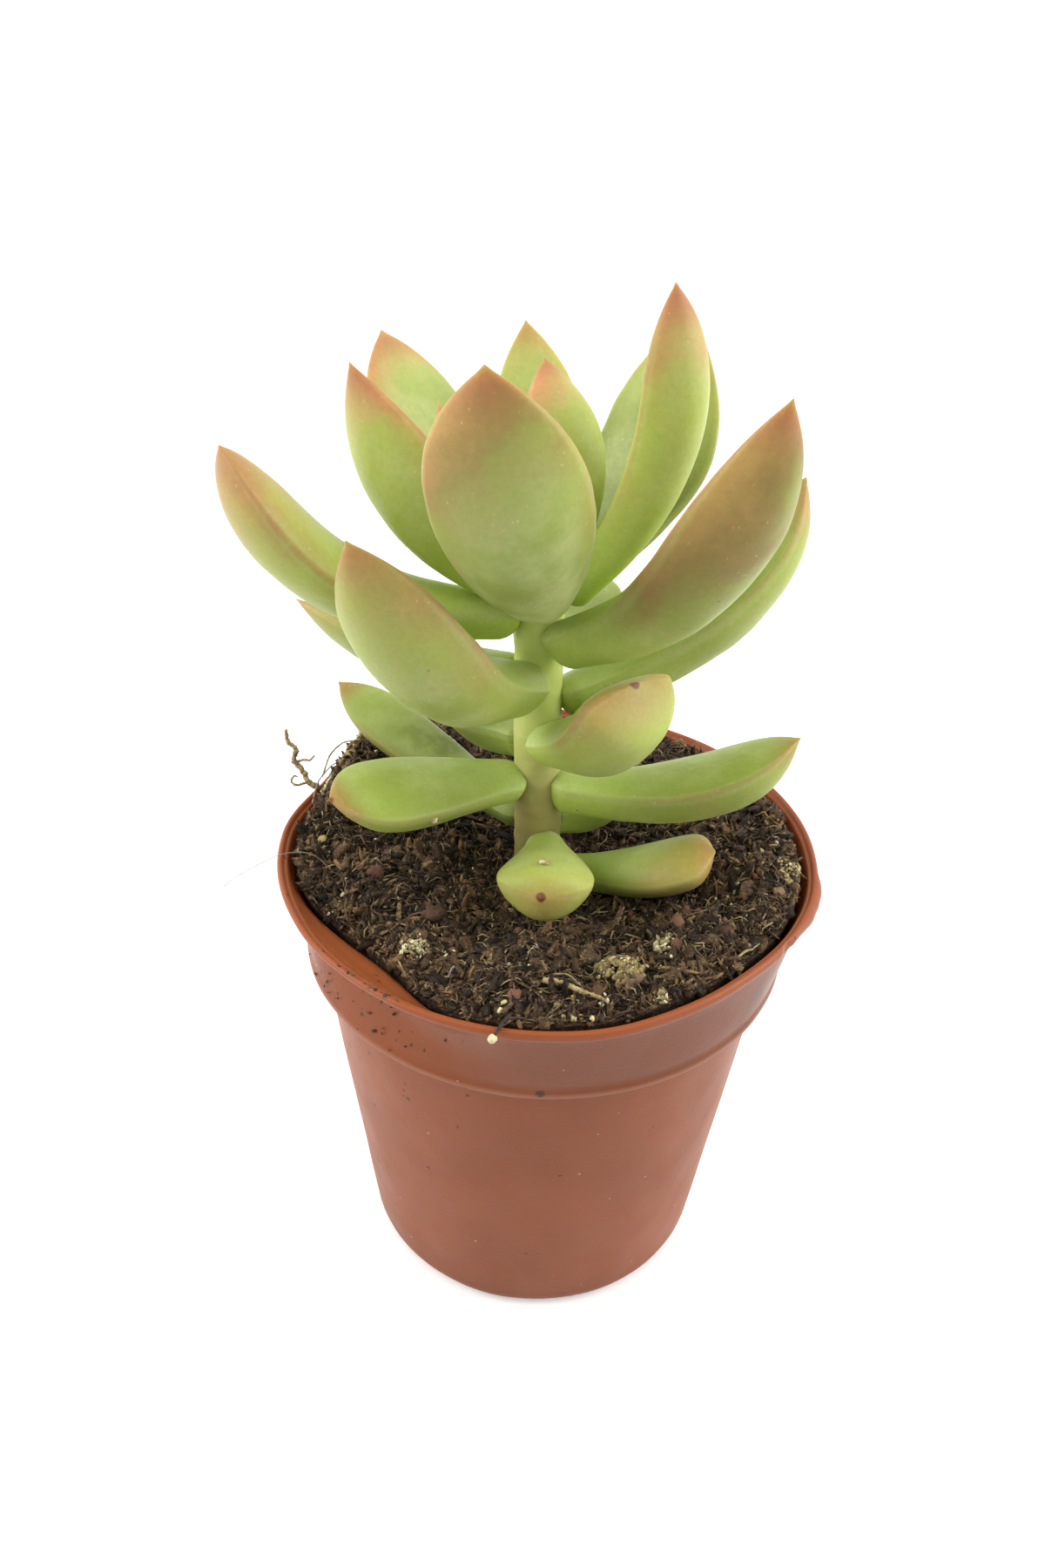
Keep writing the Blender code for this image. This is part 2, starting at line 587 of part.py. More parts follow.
def main():
    """Build the pot, the soil, the stem and the leaves."""
    clear_scene()
    parts = new_collection(COLLECTION_NAME)
    cutters = new_collection("cutters")
    origin = bpy.data.objects.new(COLLECTION_NAME + "_origin", None)
    parts.objects.link(origin)
    pot = make_pot(parts, cutters)
    finish(pot, origin, new_material("pot_plastic", POT_COLOUR, POT_ROUGHNESS))
    soil = make_soil(parts, cutters)
    finish(soil, origin, new_material("soil", SOIL_COLOUR, SOIL_ROUGHNESS))
    stem = make_stem(parts, cutters)
    finish(stem, origin, new_material("stem_skin", STEM_COLOUR, STEM_ROUGHNESS))
    old_leaf = new_material("old_leaf_skin", OLD_LEAF_COLOUR, LEAF_ROUGHNESS)
    young_leaf = new_material("young_leaf_skin", YOUNG_LEAF_COLOUR, LEAF_ROUGHNESS)
    for name, leaf in make_leaves(parts, cutters).items():
        lower = name.startswith(("leaf_foot", "leaf_low"))
        finish(leaf, origin, old_leaf if lower else young_leaf)


main()
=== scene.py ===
"""Potted sedum: the fine surfaces, small loose things and finishes of the plant, its soil and its pot.

Metres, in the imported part's frame: +Z up, -Y the front, the origin on the pot's axis at its foot. Angles are
in degrees, with azimuth 0 along +X and 90 along +Y. Every surface is a grid of points worked out as a whole
array from two running numbers, and each function says its formula in words.
"""

import math
from collections import namedtuple

import bpy
import numpy as np
from mathutils import Matrix, Vector


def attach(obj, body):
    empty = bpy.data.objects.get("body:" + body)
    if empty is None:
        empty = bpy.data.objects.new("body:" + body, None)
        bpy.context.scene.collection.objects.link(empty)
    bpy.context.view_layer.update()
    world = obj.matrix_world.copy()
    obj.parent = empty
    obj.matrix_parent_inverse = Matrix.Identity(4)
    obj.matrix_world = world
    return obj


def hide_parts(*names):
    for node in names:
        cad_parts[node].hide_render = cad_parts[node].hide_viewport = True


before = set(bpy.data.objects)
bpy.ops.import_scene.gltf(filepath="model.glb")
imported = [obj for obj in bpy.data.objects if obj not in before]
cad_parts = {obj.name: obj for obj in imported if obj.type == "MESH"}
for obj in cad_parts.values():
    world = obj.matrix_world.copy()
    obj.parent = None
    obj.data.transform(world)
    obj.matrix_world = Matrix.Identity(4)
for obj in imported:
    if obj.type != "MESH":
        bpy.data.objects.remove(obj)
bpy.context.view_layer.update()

bl_info = {
    "name": "Potted Sedum",
    "version": (1, 0, 0),
    "blender": (4, 5, 0),
    "location": "View3D > Sidebar > Sedum",
    "description": "Builds the fine surfaces and the finishes of a small potted sedum",
    "category": "Add Mesh",
}

# Pot
POT_HEIGHT = 0.0500
RIM_RADIUS = 0.0275
RIM_LIP_HEIGHT = 0.0011
COLLAR_TOP_RADIUS = 0.0268
COLLAR_FOOT_RADIUS = 0.0248
COLLAR_HEIGHT = 0.0107
COLLAR_TAPER = (COLLAR_TOP_RADIUS - COLLAR_FOOT_RADIUS) / (COLLAR_HEIGHT - RIM_LIP_HEIGHT)
BODY_TOP_RADIUS = 0.0234
BODY_FOOT_RADIUS = 0.0187
FOOT_ROUNDING = 0.0022
WALL = 0.0008
FLOOR = 0.0010
FOOT_RING_INNER_RADIUS = 0.0142
CENTRE_PAD_RADIUS = 0.0055
BASE_RECESS = 0.0010
DRAIN_HOLES = 6
DRAIN_HOLE_RADIUS = 0.0022
DRAIN_RING_RADIUS = 0.0098

# The wall out of round: presses that push it inwards, and low waves of the rim
Press = namedtuple("Press", "azimuth half_angle depth height half_height")
COLLAR_DENT = Press(226, 44, 0.0030, 0.0448, 0.0054)
COLLAR_FOLD = Press(226, 38, 0.0013, 0.0470, 0.0026)
RIM_PINCH = Press(160, 20, 0.0009, 0.0500, 0.0108)
RIM_FLAT = Press(312, 34, 0.0006, 0.0500, 0.0108)
RIM_WAVES = 3
RIM_WAVE_START = 40
RIM_WAVE_HEIGHT = 0.00015
RIM_WAVE_REACH = 0.0108
PRESS_FADE_POWER = 4

# The pot's mesh: points round it, the longest step along its section, and how close to its axis that starts
POT_SIDES = 300
SECTION_STEP = 0.0009
SECTION_AXIS = 0.0002
DRAIN_HOLE_SIDES = 32
DRAIN_DRILL_DEPTH = 0.008

# The lip's section, up its inner side, over a groove and round its bead, as (radius, height) in millimetres
LIP_SECTION = (
    ((26.16, 48.45), (26.28, 48.8), (26.36, 49.2), (26.43, 49.45), (26.53, 49.58), (26.64, 49.60))
    + ((26.72, 49.55), (26.80, 49.60), (26.88, 49.80), (26.98, 49.94), (27.12, 50.0), (27.27, 49.97))
    + ((27.40, 49.86), (27.48, 49.68), (27.50, 49.45), (27.47, 49.2), (27.38, 49.02), (27.22, 48.92))
    + ((27.02, 48.86), (26.88, 48.74), (26.78, 48.5))
)

# The bead at the collar's lower edge, as (outwards, upwards) from that edge
COLLAR_BEAD = (
    (0.00003, 0.00095),
    (0.00012, 0.0007),
    (0.00020, 0.0004),
    (0.00016, 0.0001),
    (0.0, -0.00006),
    (-0.0004, -0.0001),
)

# Bits of dirt on the lip and on the collar: how many, and the middle and the spread of their azimuths
LIP_DIRT = 26
LIP_DIRT_AZIMUTH = (234, 7)
LIP_DIRT_RADIUS = 0.0271
LIP_DIRT_HEIGHT = POT_HEIGHT - 0.00008
COLLAR_DIRT = 90
COLLAR_DIRT_AZIMUTH = (222, 16)
COLLAR_DIRT_HEIGHTS = (0.0400, 0.0486)
COLLAR_TOP_HEIGHT = 0.0489
STAIN_PLACE = (0.0214, -0.0148, 0.0440)

# Soil
SOIL_LEVEL = 0.0493
SOIL_HOLLOW_DEPTH = 0.0038
SOIL_HOLLOW_CENTRE = (0.0020, -0.0020)
SOIL_HOLLOW_RADIUS = 0.0220
SOIL_DIP_DEPTH = 0.0034
SOIL_DIP_POWER = 3
SOIL_HEAP_AZIMUTH = 143
SOIL_HEAP_HALF_ANGLE = 36
SOIL_HEAP_HEIGHT = 0.0038
SOIL_HEAP_RADIUS = 0.0235
SOIL_HEAP_REACH = 0.0090
SOIL_EDGE_GAP = 0.0002
SOIL_CALM_RADIUS = 0.0140
SOIL_CALM_SHARE = 0.7
SOIL_SIDES = 400
SOIL_RINGS = 138
SOIL_FOOT = ((BODY_TOP_RADIUS - 0.0012, 0.038), (BODY_FOOT_RADIUS - 0.0012, 0.0045), (0.0162, 0.0023))

# Flakes along the wall, and down the heap's open side over the rim: how many, the middle and the spread of
# their azimuths, and how far down towards the rim they may lie
EDGE_FLAKES = (
    ("flakes_edge", 1000, 0, 180, 0.0),
    ("flakes_heap_side", 650, 143, 32, 1.0),
)

# Single things on the soil, in millimetres. Stones and heaps start with x and y
STONES = (
    ((-10.6, -9.8, 1.0), (12.6, -15.2, 0.75), (13.0, -11.6, 0.7), (17.1, -12.8, 0.85), (-17.1, -5.1, 0.9))
    + ((-2.3, -23.1, 0.65), (1.7, 20.5, 1.0), (4.4, 7.0, 1.1), (9.0, -13.0, 0.6), (-20.0, 3.0, 0.7))
    + ((14.0, 16.0, 0.9), (-9, 17, 0.9))
)

# Heaps of pale crumbs: x, y, the largest crumb, how many and their spread
CRUMB_HEAPS = (
    ((-12.0, -15.2, 0.25, 130, 0.62), (-8.9, -15.6, 0.24, 12, 0.3), (11.4, -14.3, 0.30, 80, 0.50))
    + ((10.8, -22.4, 0.28, 14, 0.4), (-20.5, -9.0, 0.25, 8, 0.7), (18.5, -7.0, 0.25, 8, 1.2))
    + ((2.5, -24.4, 0.25, 6, 0.8), (-16.0, 12.0, 0.28, 9, 1.5), (12.0, 12.0, 0.28, 9, 2.0))
    + ((9.1, -17.6, 0.25, 14, 0.8), (-5.0, -16.8, 0.3, 5, 0.3), (-23.5, 13.0, 0.35, 12, 1.6))
    + ((-24.9, 7.6, 0.38, 40, 1.0), (5.6, -23.0, 0.22, 12, 0.3))
)
GRANULES = (
    ((-3.2, -24.1), (-3.5, -24.7), (2.9, -22.6), (2.8, -24.9))
    + ((3.6, -24.9), (4.6, -24.9), (-9.0, -15.6))
)

# Heaps of tan flakes: x, y, how many and their spread
TAN_HEAPS = (
    ((21.4, -0.2, 26, 0.5), (19.6, -1.0, 16, 0.7), (-24.6, -0.8, 26, 0.9), (24.4, -3.9, 26, 0.8))
    + ((-22, 9, 20, 1.6), (-23.6, 12.4, 46, 1.5), (-22.6, 15.2, 26, 1.2))
)

# Points along the long things, in millimetres: those that lie have heights above the soil, the others have
# heights above the ground
LYING_ROUTES = {
    "straw_front": [(0.2, -21.8, 0.5), (2.2, -22.1, 0.7), (4.0, -22.5, 0.7), (5.6, -22.9, 0.5)],
    "straw_front_thin": [(1.0, -20.2, 0.1), (2.4, -20.9, 0.9), (3.6, -21.2, 0.5)],
    "straw_right": [(17.7, -16.6, 0.2), (18.7, -15.6, 0.6), (19.6, -14.7, 0.6), (20.6, -13.3, 0.3)],
    "straw_left": [(-14.2, -15.2, 0.2), (-13.2, -16.8, 0.6), (-12.7, -17.8, 0.3)],
    "straw_white": [(-7.9, -17.1, 0.1), (-8.3, -18.4, 0.4), (-8.7, -19.7, 0.1)],
    "straw_heap": [(-24.6, 9.5, -0.5), (-24.0, 11.6, 0.6), (-22.9, 13.8, 0.7), (-21.6, 15.5, -0.4)],
    "straw_heap_thin": [(-25.0, 5.2, 0.1), (-24.6, 7.0, 1.0), (-23.4, 8.9, 1.0), (-22.4, 10.8, 0.1)],
    "straw_back": [(13.0, 16.5, 0.1), (10.0, 19.0, 0.8), (7.5, 20.6, 0.5), (5.0, 20.9, 0.1)],
}
STANDING_ROUTES = {
    "twig_back_left": [(-24.7, 8.3, 50.2), (-25.9, 8.2, 50.9), (-26.5, 8.7, 52.0), (-27.4, 8.8, 53.1)]
    + [(-27.2, 9.3, 54.2), (-28.0, 9.3, 55.3), (-28.1, 9.5, 56.6)],
    "twig_side_bit": [(-27.2, 8.9, 52.9), (-26.4, 9.0, 53.2), (-25.7, 8.8, 53.3), (-25.2, 9.0, 53.8)],
    "twig_curl": [(-25.9, 8.2, 50.9), (-26.9, 7.2, 51.1), (-27.5, 7.2, 51.5), (-27.3, 7.6, 52.0)]
    + [(-26.9, 7.7, 51.8)],
    "stalk_front": [(-2.3, -24.6, 49.6), (-2.8, -25.8, 50.2), (-3.2, -26.8, 50.3), (-3.6, -27.6, 50.2)]
    + [(-3.9, -28.1, 49.9)],
    "stalk_front_branch": [(-2.9, -26.2, 50.3), (-1.9, -25.9, 50.3), (-0.8, -25.8, 49.9)],
    "hair": [(-21.3, -4.6, 48.7), (-23.2, -5.3, 51.4), (-25.6, -6.6, 52.4), (-28.1, -8.2, 52.0)]
    + [(-29.2, -13.7, 54.4), (-29.4, -18.8, 56.5), (-29.5, -25.1, 59.9)],
}

# Half the thickness of the hair, in metres
HAIR_RADIUS = 0.00004

# Stem and leaves
STEM_RADIUS = 0.0023
STEM_TOP = 0.0832
STEM_FOOT_X = -0.0010
STEM_LEAN = -0.025
STEM_TAPER_HEIGHT = 0.0760
STEM_TAPER_SHARE = 0.22
STEM_HOLE_BOTTOM = 0.0380
LEAF_ROOT_OFFSET = 0.0016
BUD_ROOT_OFFSET = 0.0004
LEAF_EDGE_POWER = 1.25
LEAF_KNUCKLE = 0.07
LEAF_TIP_SPOT = 0.0011
STEM_RINGS = 180
STEM_SIDES = 44
BUD_RINGS = 30
BUD_SIDES = 20

# Scars on the stem, as (azimuth, height)
STEM_SCARS = ((-95, 0.0555), (-60, 0.0622), (-120, 0.0640), (-80, 0.0690))

# Crumbs on two leaves: the leaf, the shares of its length and of its girth where they lie, and how many
LEAF_CRUMBS = (("leaf_foot_front", 0.65, 0.25, 9), ("leaf_low_left", 0.54, 0.56, 5))

# How a leaf's width and depth run from its root to its tip: the share at the root, the place of the widest
# point and the power of the fall to the tip, for the width and then for the depth. top is the share of the
# depth above the leaf's margins.
Form = namedtuple("Form", "neck belly blunt deep_neck deep_belly deep_blunt top")
LANCE = Form(0.42, 0.58, 2.0, 0.75, 0.42, 2.0, 0.25)
CROWN = Form(0.34, 0.60, 2.0, 0.70, 0.42, 2.0, 0.25)
EGG = Form(0.40, 0.60, 3.0, 0.70, 0.42, 2.0, 0.25)
CLUB = Form(0.50, 0.66, 3.0, 0.75, 0.55, 3.0, 0.25)
SPOON = Form(0.42, 0.68, 3.4, 0.75, 0.60, 3.4, 0.45)
DROP = Form(0.40, 0.66, 2.6, 0.75, 0.70, 4.3, 0.36)
BEAN = Form(0.37, 0.71, 5.3, 0.75, 0.60, 4.3, 0.38)
THUMB = Form(0.49, 0.79, 5.4, 0.60, 0.60, 4.7, 0.26)

# Where each leaf sits and how it runs, as on the solid leaves
Leaf = namedtuple("Leaf", "name height seat heading rise curl length width depth roll sweep twist form")
LEAVES = (
    Leaf("leaf_foot_front", 0.0517, -61, -84, 6, 7, 0.0122, 0.0092, 0.0055, -1, -13, 0, DROP),
    Leaf("leaf_foot_right", 0.0480, -23, -23, 9, 21, 0.0177, 0.0073, 0.0048, -4, 14, 0, BEAN),
    Leaf("leaf_foot_back_right", 0.0535, 40, 40, -5, 10, 0.0100, 0.0070, 0.0050, 0, 0, 0, LANCE),
    Leaf("leaf_low_right", 0.0587, -39, -1, -4, 37, 0.0251, 0.0084, 0.0058, 4, 1, 6, CLUB),
    Leaf("leaf_low_left", 0.0591, -145, -156, 8, 0, 0.0204, 0.0093, 0.0053, 7, 11, 0, CLUB),
    Leaf("leaf_low_back_left", 0.0532, 144, 144, 9, 11, 0.0258, 0.0061, 0.0054, 15, 5, 0, CLUB),
    Leaf("leaf_low_back", 0.0626, 125, 125, -8, 10, 0.0140, 0.0095, 0.0055, 0, 0, 0, LANCE),
    Leaf("leaf_middle_front_right", 0.0642, -87, -39, 24, 37, 0.0148, 0.0117, 0.0070, -3, 2, 12, THUMB),
    Leaf("leaf_middle_right", 0.0676, 23, 23, 16, 43, 0.0321, 0.0116, 0.0062, 21, -1, -12, CLUB),
    Leaf("leaf_middle_front_left", 0.0704, -79, -127, 23, 39, 0.0319, 0.0114, 0.0070, 16, -8, -57, LANCE),
    Leaf("leaf_middle_back_left", 0.0708, 161, 161, -6, 23, 0.0240, 0.0095, 0.0048, -29, 4, 0, LANCE),
    Leaf("leaf_upper_front_right", 0.0746, -67, -29, 31, 40, 0.0366, 0.0109, 0.0061, 3, -23, 22, LANCE),
    Leaf("leaf_upper_back", 0.0744, 69, 69, -6, 20, 0.0118, 0.0088, 0.0050, 0, 0, 0, CLUB),
    Leaf("leaf_upper_left", 0.0766, -162, -165, 7, 57, 0.0339, 0.0119, 0.0060, -19, 17, 25, SPOON),
    Leaf("leaf_crown_front", 0.0800, -88, -88, 29, 45, 0.0341, 0.0124, 0.0063, -22, -33, 0, EGG),
    Leaf("leaf_crown_right", 0.0786, -13, -13, 52, 42, 0.0306, 0.0068, 0.0048, 21, -12, 0, CLUB),
    Leaf("leaf_crown_back_right", 0.0780, 39, 39, 37, 45, 0.0284, 0.0123, 0.0051, -12, -6, 0, LANCE),
    Leaf("leaf_crown_left", 0.0790, -158, -158, 44, 22, 0.0260, 0.0109, 0.0053, -45, -20, 0, LANCE),
    Leaf("leaf_crown_back_left", 0.0793, 131, 131, 28, 27, 0.0274, 0.0129, 0.0045, -9, 12, 0, EGG),
    Leaf("leaf_crown_back", 0.0822, 88, 88, 34, 22, 0.0226, 0.0078, 0.0040, 10, 23, 0, CROWN),
    Leaf("leaf_inner_right", 0.0816, 7, -47, 82, 40, 0.0181, 0.0095, 0.0047, -23, -18, 0, LANCE),
    Leaf("leaf_inner_left", 0.0824, 172, 172, 45, 30, 0.0153, 0.0050, 0.0032, 0, 0, 0, LANCE),
)
BUDS = (
    Leaf("bud_1", 0.0824, 150, 150, 82, 10, 0.0064, 0.0024, 0.0020, 0, 0, 0, LANCE),
    Leaf("bud_2", 0.0826, -30, -30, 80, 8, 0.0050, 0.0024, 0.0018, 0, 0, 0, LANCE),
)

# Each leaf's finish, from 0 to 1: the share of its length that the blush takes, from the tip; how strong and
# how brown the blush is; how clear its margin line is; how yellow its flesh is; how dark its tip's point is;
# how strongly painted shade darkens it, most towards its root. lean, from -1 to 1, draws the blush down one
# margin, the right-hand one above 0.
Finish = namedtuple("Finish", "blush flush rust margin ripe sting deep lean")
FINISHES = {
    "leaf_foot_front": Finish(0.10, 0.30, 0.5, 0.2, 0.60, 1.0, 0.1, 0.0),
    "leaf_foot_right": Finish(0.34, 0.50, 0.6, 0.2, 0.15, 0.0, 0.25, 0.5),
    "leaf_foot_back_right": Finish(0.10, 0.30, 0.5, 0.1, 0.15, 0.0, 0.3, 0.0),
    "leaf_low_right": Finish(0.08, 0.40, 0.8, 0.7, 0.10, 0.0, 0.25, 0.0),
    "leaf_low_left": Finish(0.06, 0.60, 1.0, 0.3, 0.10, 0.9, 0.30, 0.0),
    "leaf_low_back_left": Finish(0.10, 0.60, 0.9, 0.8, 0.15, 0.5, 0.8, 0.0),
    "leaf_low_back": Finish(0.55, 0.40, 0.9, 0.3, 0.10, 0.0, 0.6, 0.0),
    "leaf_middle_front_right": Finish(0.16, 0.40, 0.6, 0.8, 0.10, 1.0, 0.2, 0.3),
    "leaf_middle_right": Finish(0.14, 0.50, 0.6, 0.5, 0.20, 0.0, 0.35, 0.0),
    "leaf_middle_front_left": Finish(0.28, 0.60, 0.7, 0.8, 0.05, 0.0, 0.30, -0.45),
    "leaf_middle_back_left": Finish(0.14, 0.50, 0.6, 0.5, 0.10, 0.2, 0.7, 0.0),
    "leaf_upper_front_right": Finish(0.46, 0.88, 0.95, 1.0, 0.05, 0.0, 0.30, 0.75),
    "leaf_upper_back": Finish(0.10, 0.20, 0.5, 0.2, 0.05, 0.0, 0.5, 0.0),
    "leaf_upper_left": Finish(0.30, 0.65, 0.50, 0.7, 0.20, 0.0, 0.0, 0.3),
    "leaf_crown_front": Finish(0.26, 0.85, 0.80, 0.6, 0.05, 0.0, 0.50, 0.45),
    "leaf_crown_right": Finish(0.16, 0.95, 0.25, 0.5, 0.20, 0.0, 0.0, 0.0),
    "leaf_crown_back_right": Finish(0.12, 0.70, 0.5, 0.3, 0.10, 0.0, 0.7, 0.0),
    "leaf_crown_left": Finish(0.16, 0.95, 0.2, 0.8, 0.10, 0.0, 0.05, -0.3),
    "leaf_crown_back_left": Finish(0.16, 0.90, 0.1, 0.6, 0.05, 0.0, 0.5, -0.3),
    "leaf_crown_back": Finish(0.18, 0.55, 0.1, 0.4, 0.35, 0.0, 0.3, 0.0),
    "leaf_inner_right": Finish(0.24, 0.90, 0.1, 0.5, 0.30, 0.0, 0.15, 0.3),
    "leaf_inner_left": Finish(0.45, 0.60, 0.1, 0.5, 0.60, 0.0, 0.3, 0.0),
    "bud_1": Finish(0.3, 0.3, 0.0, 0.2, 1.0, 0.0, 0.0, 0.0),
    "bud_2": Finish(0.3, 0.3, 0.0, 0.2, 1.0, 0.0, 0.0, 0.0),
}

# Camera, fitted to the view of the rim, the collar and the foot
CAMERA_PLACE = (0.0, -0.1151, 0.13496)
CAMERA_PITCH = 0.5931
CAMERA_YAW = -0.0234
CAMERA_ROLL = 0.0303
CAMERA_LENS = 32.0
CAMERA_SENSOR = 36.0

# Lamps
LAMP_PLACES = {"lamp_left": (-0.7, -0.1, 0.45), "lamp_right": (0.7, 0.0, 0.4)}
LAMP_AIM = (0, 0, 0.06)
LAMP_SIZE = 0.5
LAMP_POWER = 2.6


# Settings


def length(name, text, default):
    """A length that the user can change."""
    return bpy.props.FloatProperty(
        name=name, description=text, default=default, min=0.0, precision=5, subtype="DISTANCE", unit="LENGTH"
    )


def share(name, text, default, most=1.0):
    """A plain share or factor that the user can change."""
    return bpy.props.FloatProperty(
        name=name, description=text, default=default, min=0.0, max=most, subtype="FACTOR"
    )


def amount(name, text, default):
    """A count that the user can change."""
    return bpy.props.IntProperty(name=name, description=text, default=default, min=3)


def tint(name, text, default):
    """A colour that the user can change."""
    return bpy.props.FloatVectorProperty(
        name=name, description=text, default=default, size=3, min=0.0, max=1.0, subtype="COLOR"
    )


class SedumSizes(bpy.types.PropertyGroup):
    """Sizes and counts of the fine detail"""

    leaf_rings: amount("Leaf Rings", "Rings of points along each leaf", 72)
    leaf_sides: amount("Leaf Sides", "Points round each ring of a leaf", 48)
    leaf_dents: share("Leaf Dents", "Slow dents of a leaf's skin, as a share of its thickness", 0.035)
    leaf_grain: length("Leaf Grain", "Height of the fine grain of the leaf's skin", 0.00003)
    wall_ripple: length("Wall Ripple", "Height of the slow ripples of the pot's thin wall", 0.00008)
    flash_reach: length("Flash Reach", "How far the torn flash stands out of the lip", 0.00055)
    soil_relief: share("Soil Relief", "How strong the clods of the soil's surface are", 1.0, 2.0)
    flakes: amount("Peat Flakes", "How many dark flakes of peat lie on the soil", 4300)
    fibres: amount("Peat Fibres", "How many brown fibres lie on the soil", 1700)
    strand_thickness: length("Straw Thickness", "Half the thickness of the long straws", 0.00018)


class SedumColours(bpy.types.PropertyGroup):
    """Colours of the finishes"""

    pot_body: tint("Pot Body", "Plastic of the pot's wall", (0.290, 0.078, 0.024))
    pot_lip: tint("Pot Lip", "Thin clear plastic of the lip and the inner wall", (0.32, 0.088, 0.029))
    # Pale colour painted along the collar's lower edge as a highlight where its bead catches the light.
    pot_edge: tint("Pot Edge", "Worn pale plastic along the collar's lower edge", (0.52, 0.27, 0.17))
    peat_dark: tint("Dark Peat", "Moist peat", (0.020, 0.013, 0.008))
    peat_brown: tint("Brown Peat", "Drier peat", (0.110, 0.063, 0.034))
    peat_gold: tint("Peat Fibre", "Light fibres in the peat", (0.34, 0.25, 0.115))
    stone: tint("Stone", "Reddish grains", (0.150, 0.066, 0.038))
    lichen: tint("Lichen", "Mossy clump", (0.36, 0.27, 0.11))
    # Pale flesh near the stem, lightened further as a painted glow of light shining through it.
    leaf_root: tint("Leaf Root", "Flesh near the stem", (0.56, 0.70, 0.140))
    leaf_green: tint("Leaf Green", "Flesh of a fresh leaf", (0.44, 0.53, 0.110))
    leaf_ripe: tint("Leaf Yellow", "Flesh of a ripe or sunlit leaf", (0.58, 0.56, 0.130))
    leaf_bloom: tint("Leaf Bloom", "Pale wax on the middle of a leaf", (0.53, 0.60, 0.250))
    blush_pink: tint("Pink Blush", "Blush of the young leaves' tips", (0.66, 0.29, 0.14))
    blush_brown: tint("Brown Blush", "Deeper start of an old blush", (0.215, 0.135, 0.030))
    blush_orange: tint("Orange Blush", "Lighter end of an old blush", (0.47, 0.28, 0.085))
    leaf_margin: tint("Leaf Margin", "Thin line along a leaf's edges", (0.42, 0.165, 0.075))
    leaf_spot: tint("Leaf Spot", "Dark point of an old leaf's tip", (0.16, 0.035, 0.025))
    # The young stem's pale green, lightened further as a painted glow of light shining through it.
    stem_top: tint("Stem Top", "Young stem", (0.64, 0.72, 0.21))
    stem_low: tint("Stem Foot", "Old stem", (0.38, 0.33, 0.11))
    floor: tint("Floor", "The pale floor", (0.95, 0.95, 0.95))


# Running numbers


def ease(value):
    """Smooth step: 3 times the square less 2 times the cube, of a value held between 0 and 1."""
    value = np.clip(value, 0.0, 1.0)
    return value * value * (3 - 2 * value)


def rise(value, low, high):
    """Smooth step from 0 at low to 1 at high."""
    return ease((value - low) / (high - low))


def bump(distance, half_width):
    """The square of a cosine: 1 at no distance, falling to 0 at half_width and beyond."""
    part = np.clip(np.abs(distance) / half_width, 0.0, 1.0)
    return np.cos(part * math.pi / 2) ** 2


def angle_between(azimuth, other):
    """The angle between two azimuths, at most 180."""
    return np.abs((azimuth - other + 180.0) % 360.0 - 180.0)


def polar(radius, azimuth):
    """x and y: a radius times the cosine and the sine of an azimuth."""
    return radius * np.cos(np.radians(azimuth)), radius * np.sin(np.radians(azimuth))


def hashed(cells, salt):
    """Repeatable numbers from 0 to 1 for cells of whole numbers: multiplied, mixed and folded."""
    whole = (cells.astype(np.int64) & 0xFFFFFFFF).astype(np.uint32)
    mixed = whole[..., 0] * np.uint32(0x8DA6B343)
    mixed ^= whole[..., 1] * np.uint32(0xD8163841)
    mixed ^= whole[..., 2] * np.uint32(0xCB1AB31F)
    mixed ^= np.uint32((salt * 0x9E3779B1) & 0xFFFFFFFF)
    for shift, factor in ((15, 0x2C1B3C6D), (12, 0x297A2D39)):
        mixed = (mixed ^ (mixed >> np.uint32(shift))) * np.uint32(factor)
    return (mixed ^ (mixed >> np.uint32(15))) / 2.0**32


def smooth_noise(points, size, salt=0):
    """Hashed numbers at the corners of a point's cell, mixed by smooth steps on each axis, from -1 to 1."""
    place = np.asarray(points) / size
    corner = np.floor(place)
    part = ease(place - corner)
    total = np.zeros(place.shape[:-1])
    for step in np.ndindex(2, 2, 2):
        weight = np.prod(np.where(np.array(step) == 1, part, 1 - part), axis=-1)
        total += weight * hashed(corner + step, salt)
    return 2 * total - 1


def cell_noise(points, size, salt=0):
    """The distance, in cells, to the nearest of the points that are hashed one to a cell."""
    place = np.asarray(points) / size
    corner = np.floor(place)
    nearest = np.full(place.shape[:-1], 9.0)
    for step in np.ndindex(3, 3, 3):
        cell = corner + np.array(step) - 1
        centre = cell + np.stack([hashed(cell, salt + axis) for axis in (1, 2, 3)], -1)
        nearest = np.minimum(np.linalg.norm(centre - place, axis=-1), nearest)
    return nearest


# Meshes


def loft_layout(rings, sides):
    """Quads between neighbouring rings of a wrapped grid, and fans to the two points that follow it."""
    row, column = np.meshgrid(np.arange(rings - 1), np.arange(sides), indexing="ij")
    low = row * sides
    after = (column + 1) % sides
    quads = np.stack([low + column, low + after, low + sides + after, low + sides + column], -1)
    column = np.arange(sides)
    after = (column + 1) % sides
    last = (rings - 1) * sides
    start = np.stack([np.full(sides, rings * sides), after, column], -1)
    end = np.stack([np.full(sides, rings * sides + 1), last + column, last + after], -1)
    return quads.reshape(-1, 4), np.concatenate([start, end])


def with_ends(rings):
    """Values on grids of rings (piece, ring, side, ...) laid out by piece, then its end rings' means."""
    flat = rings.reshape(len(rings), -1, *rings.shape[3:])
    return np.concatenate([flat, rings[:, :1].mean(2), rings[:, -1:].mean(2)], 1)


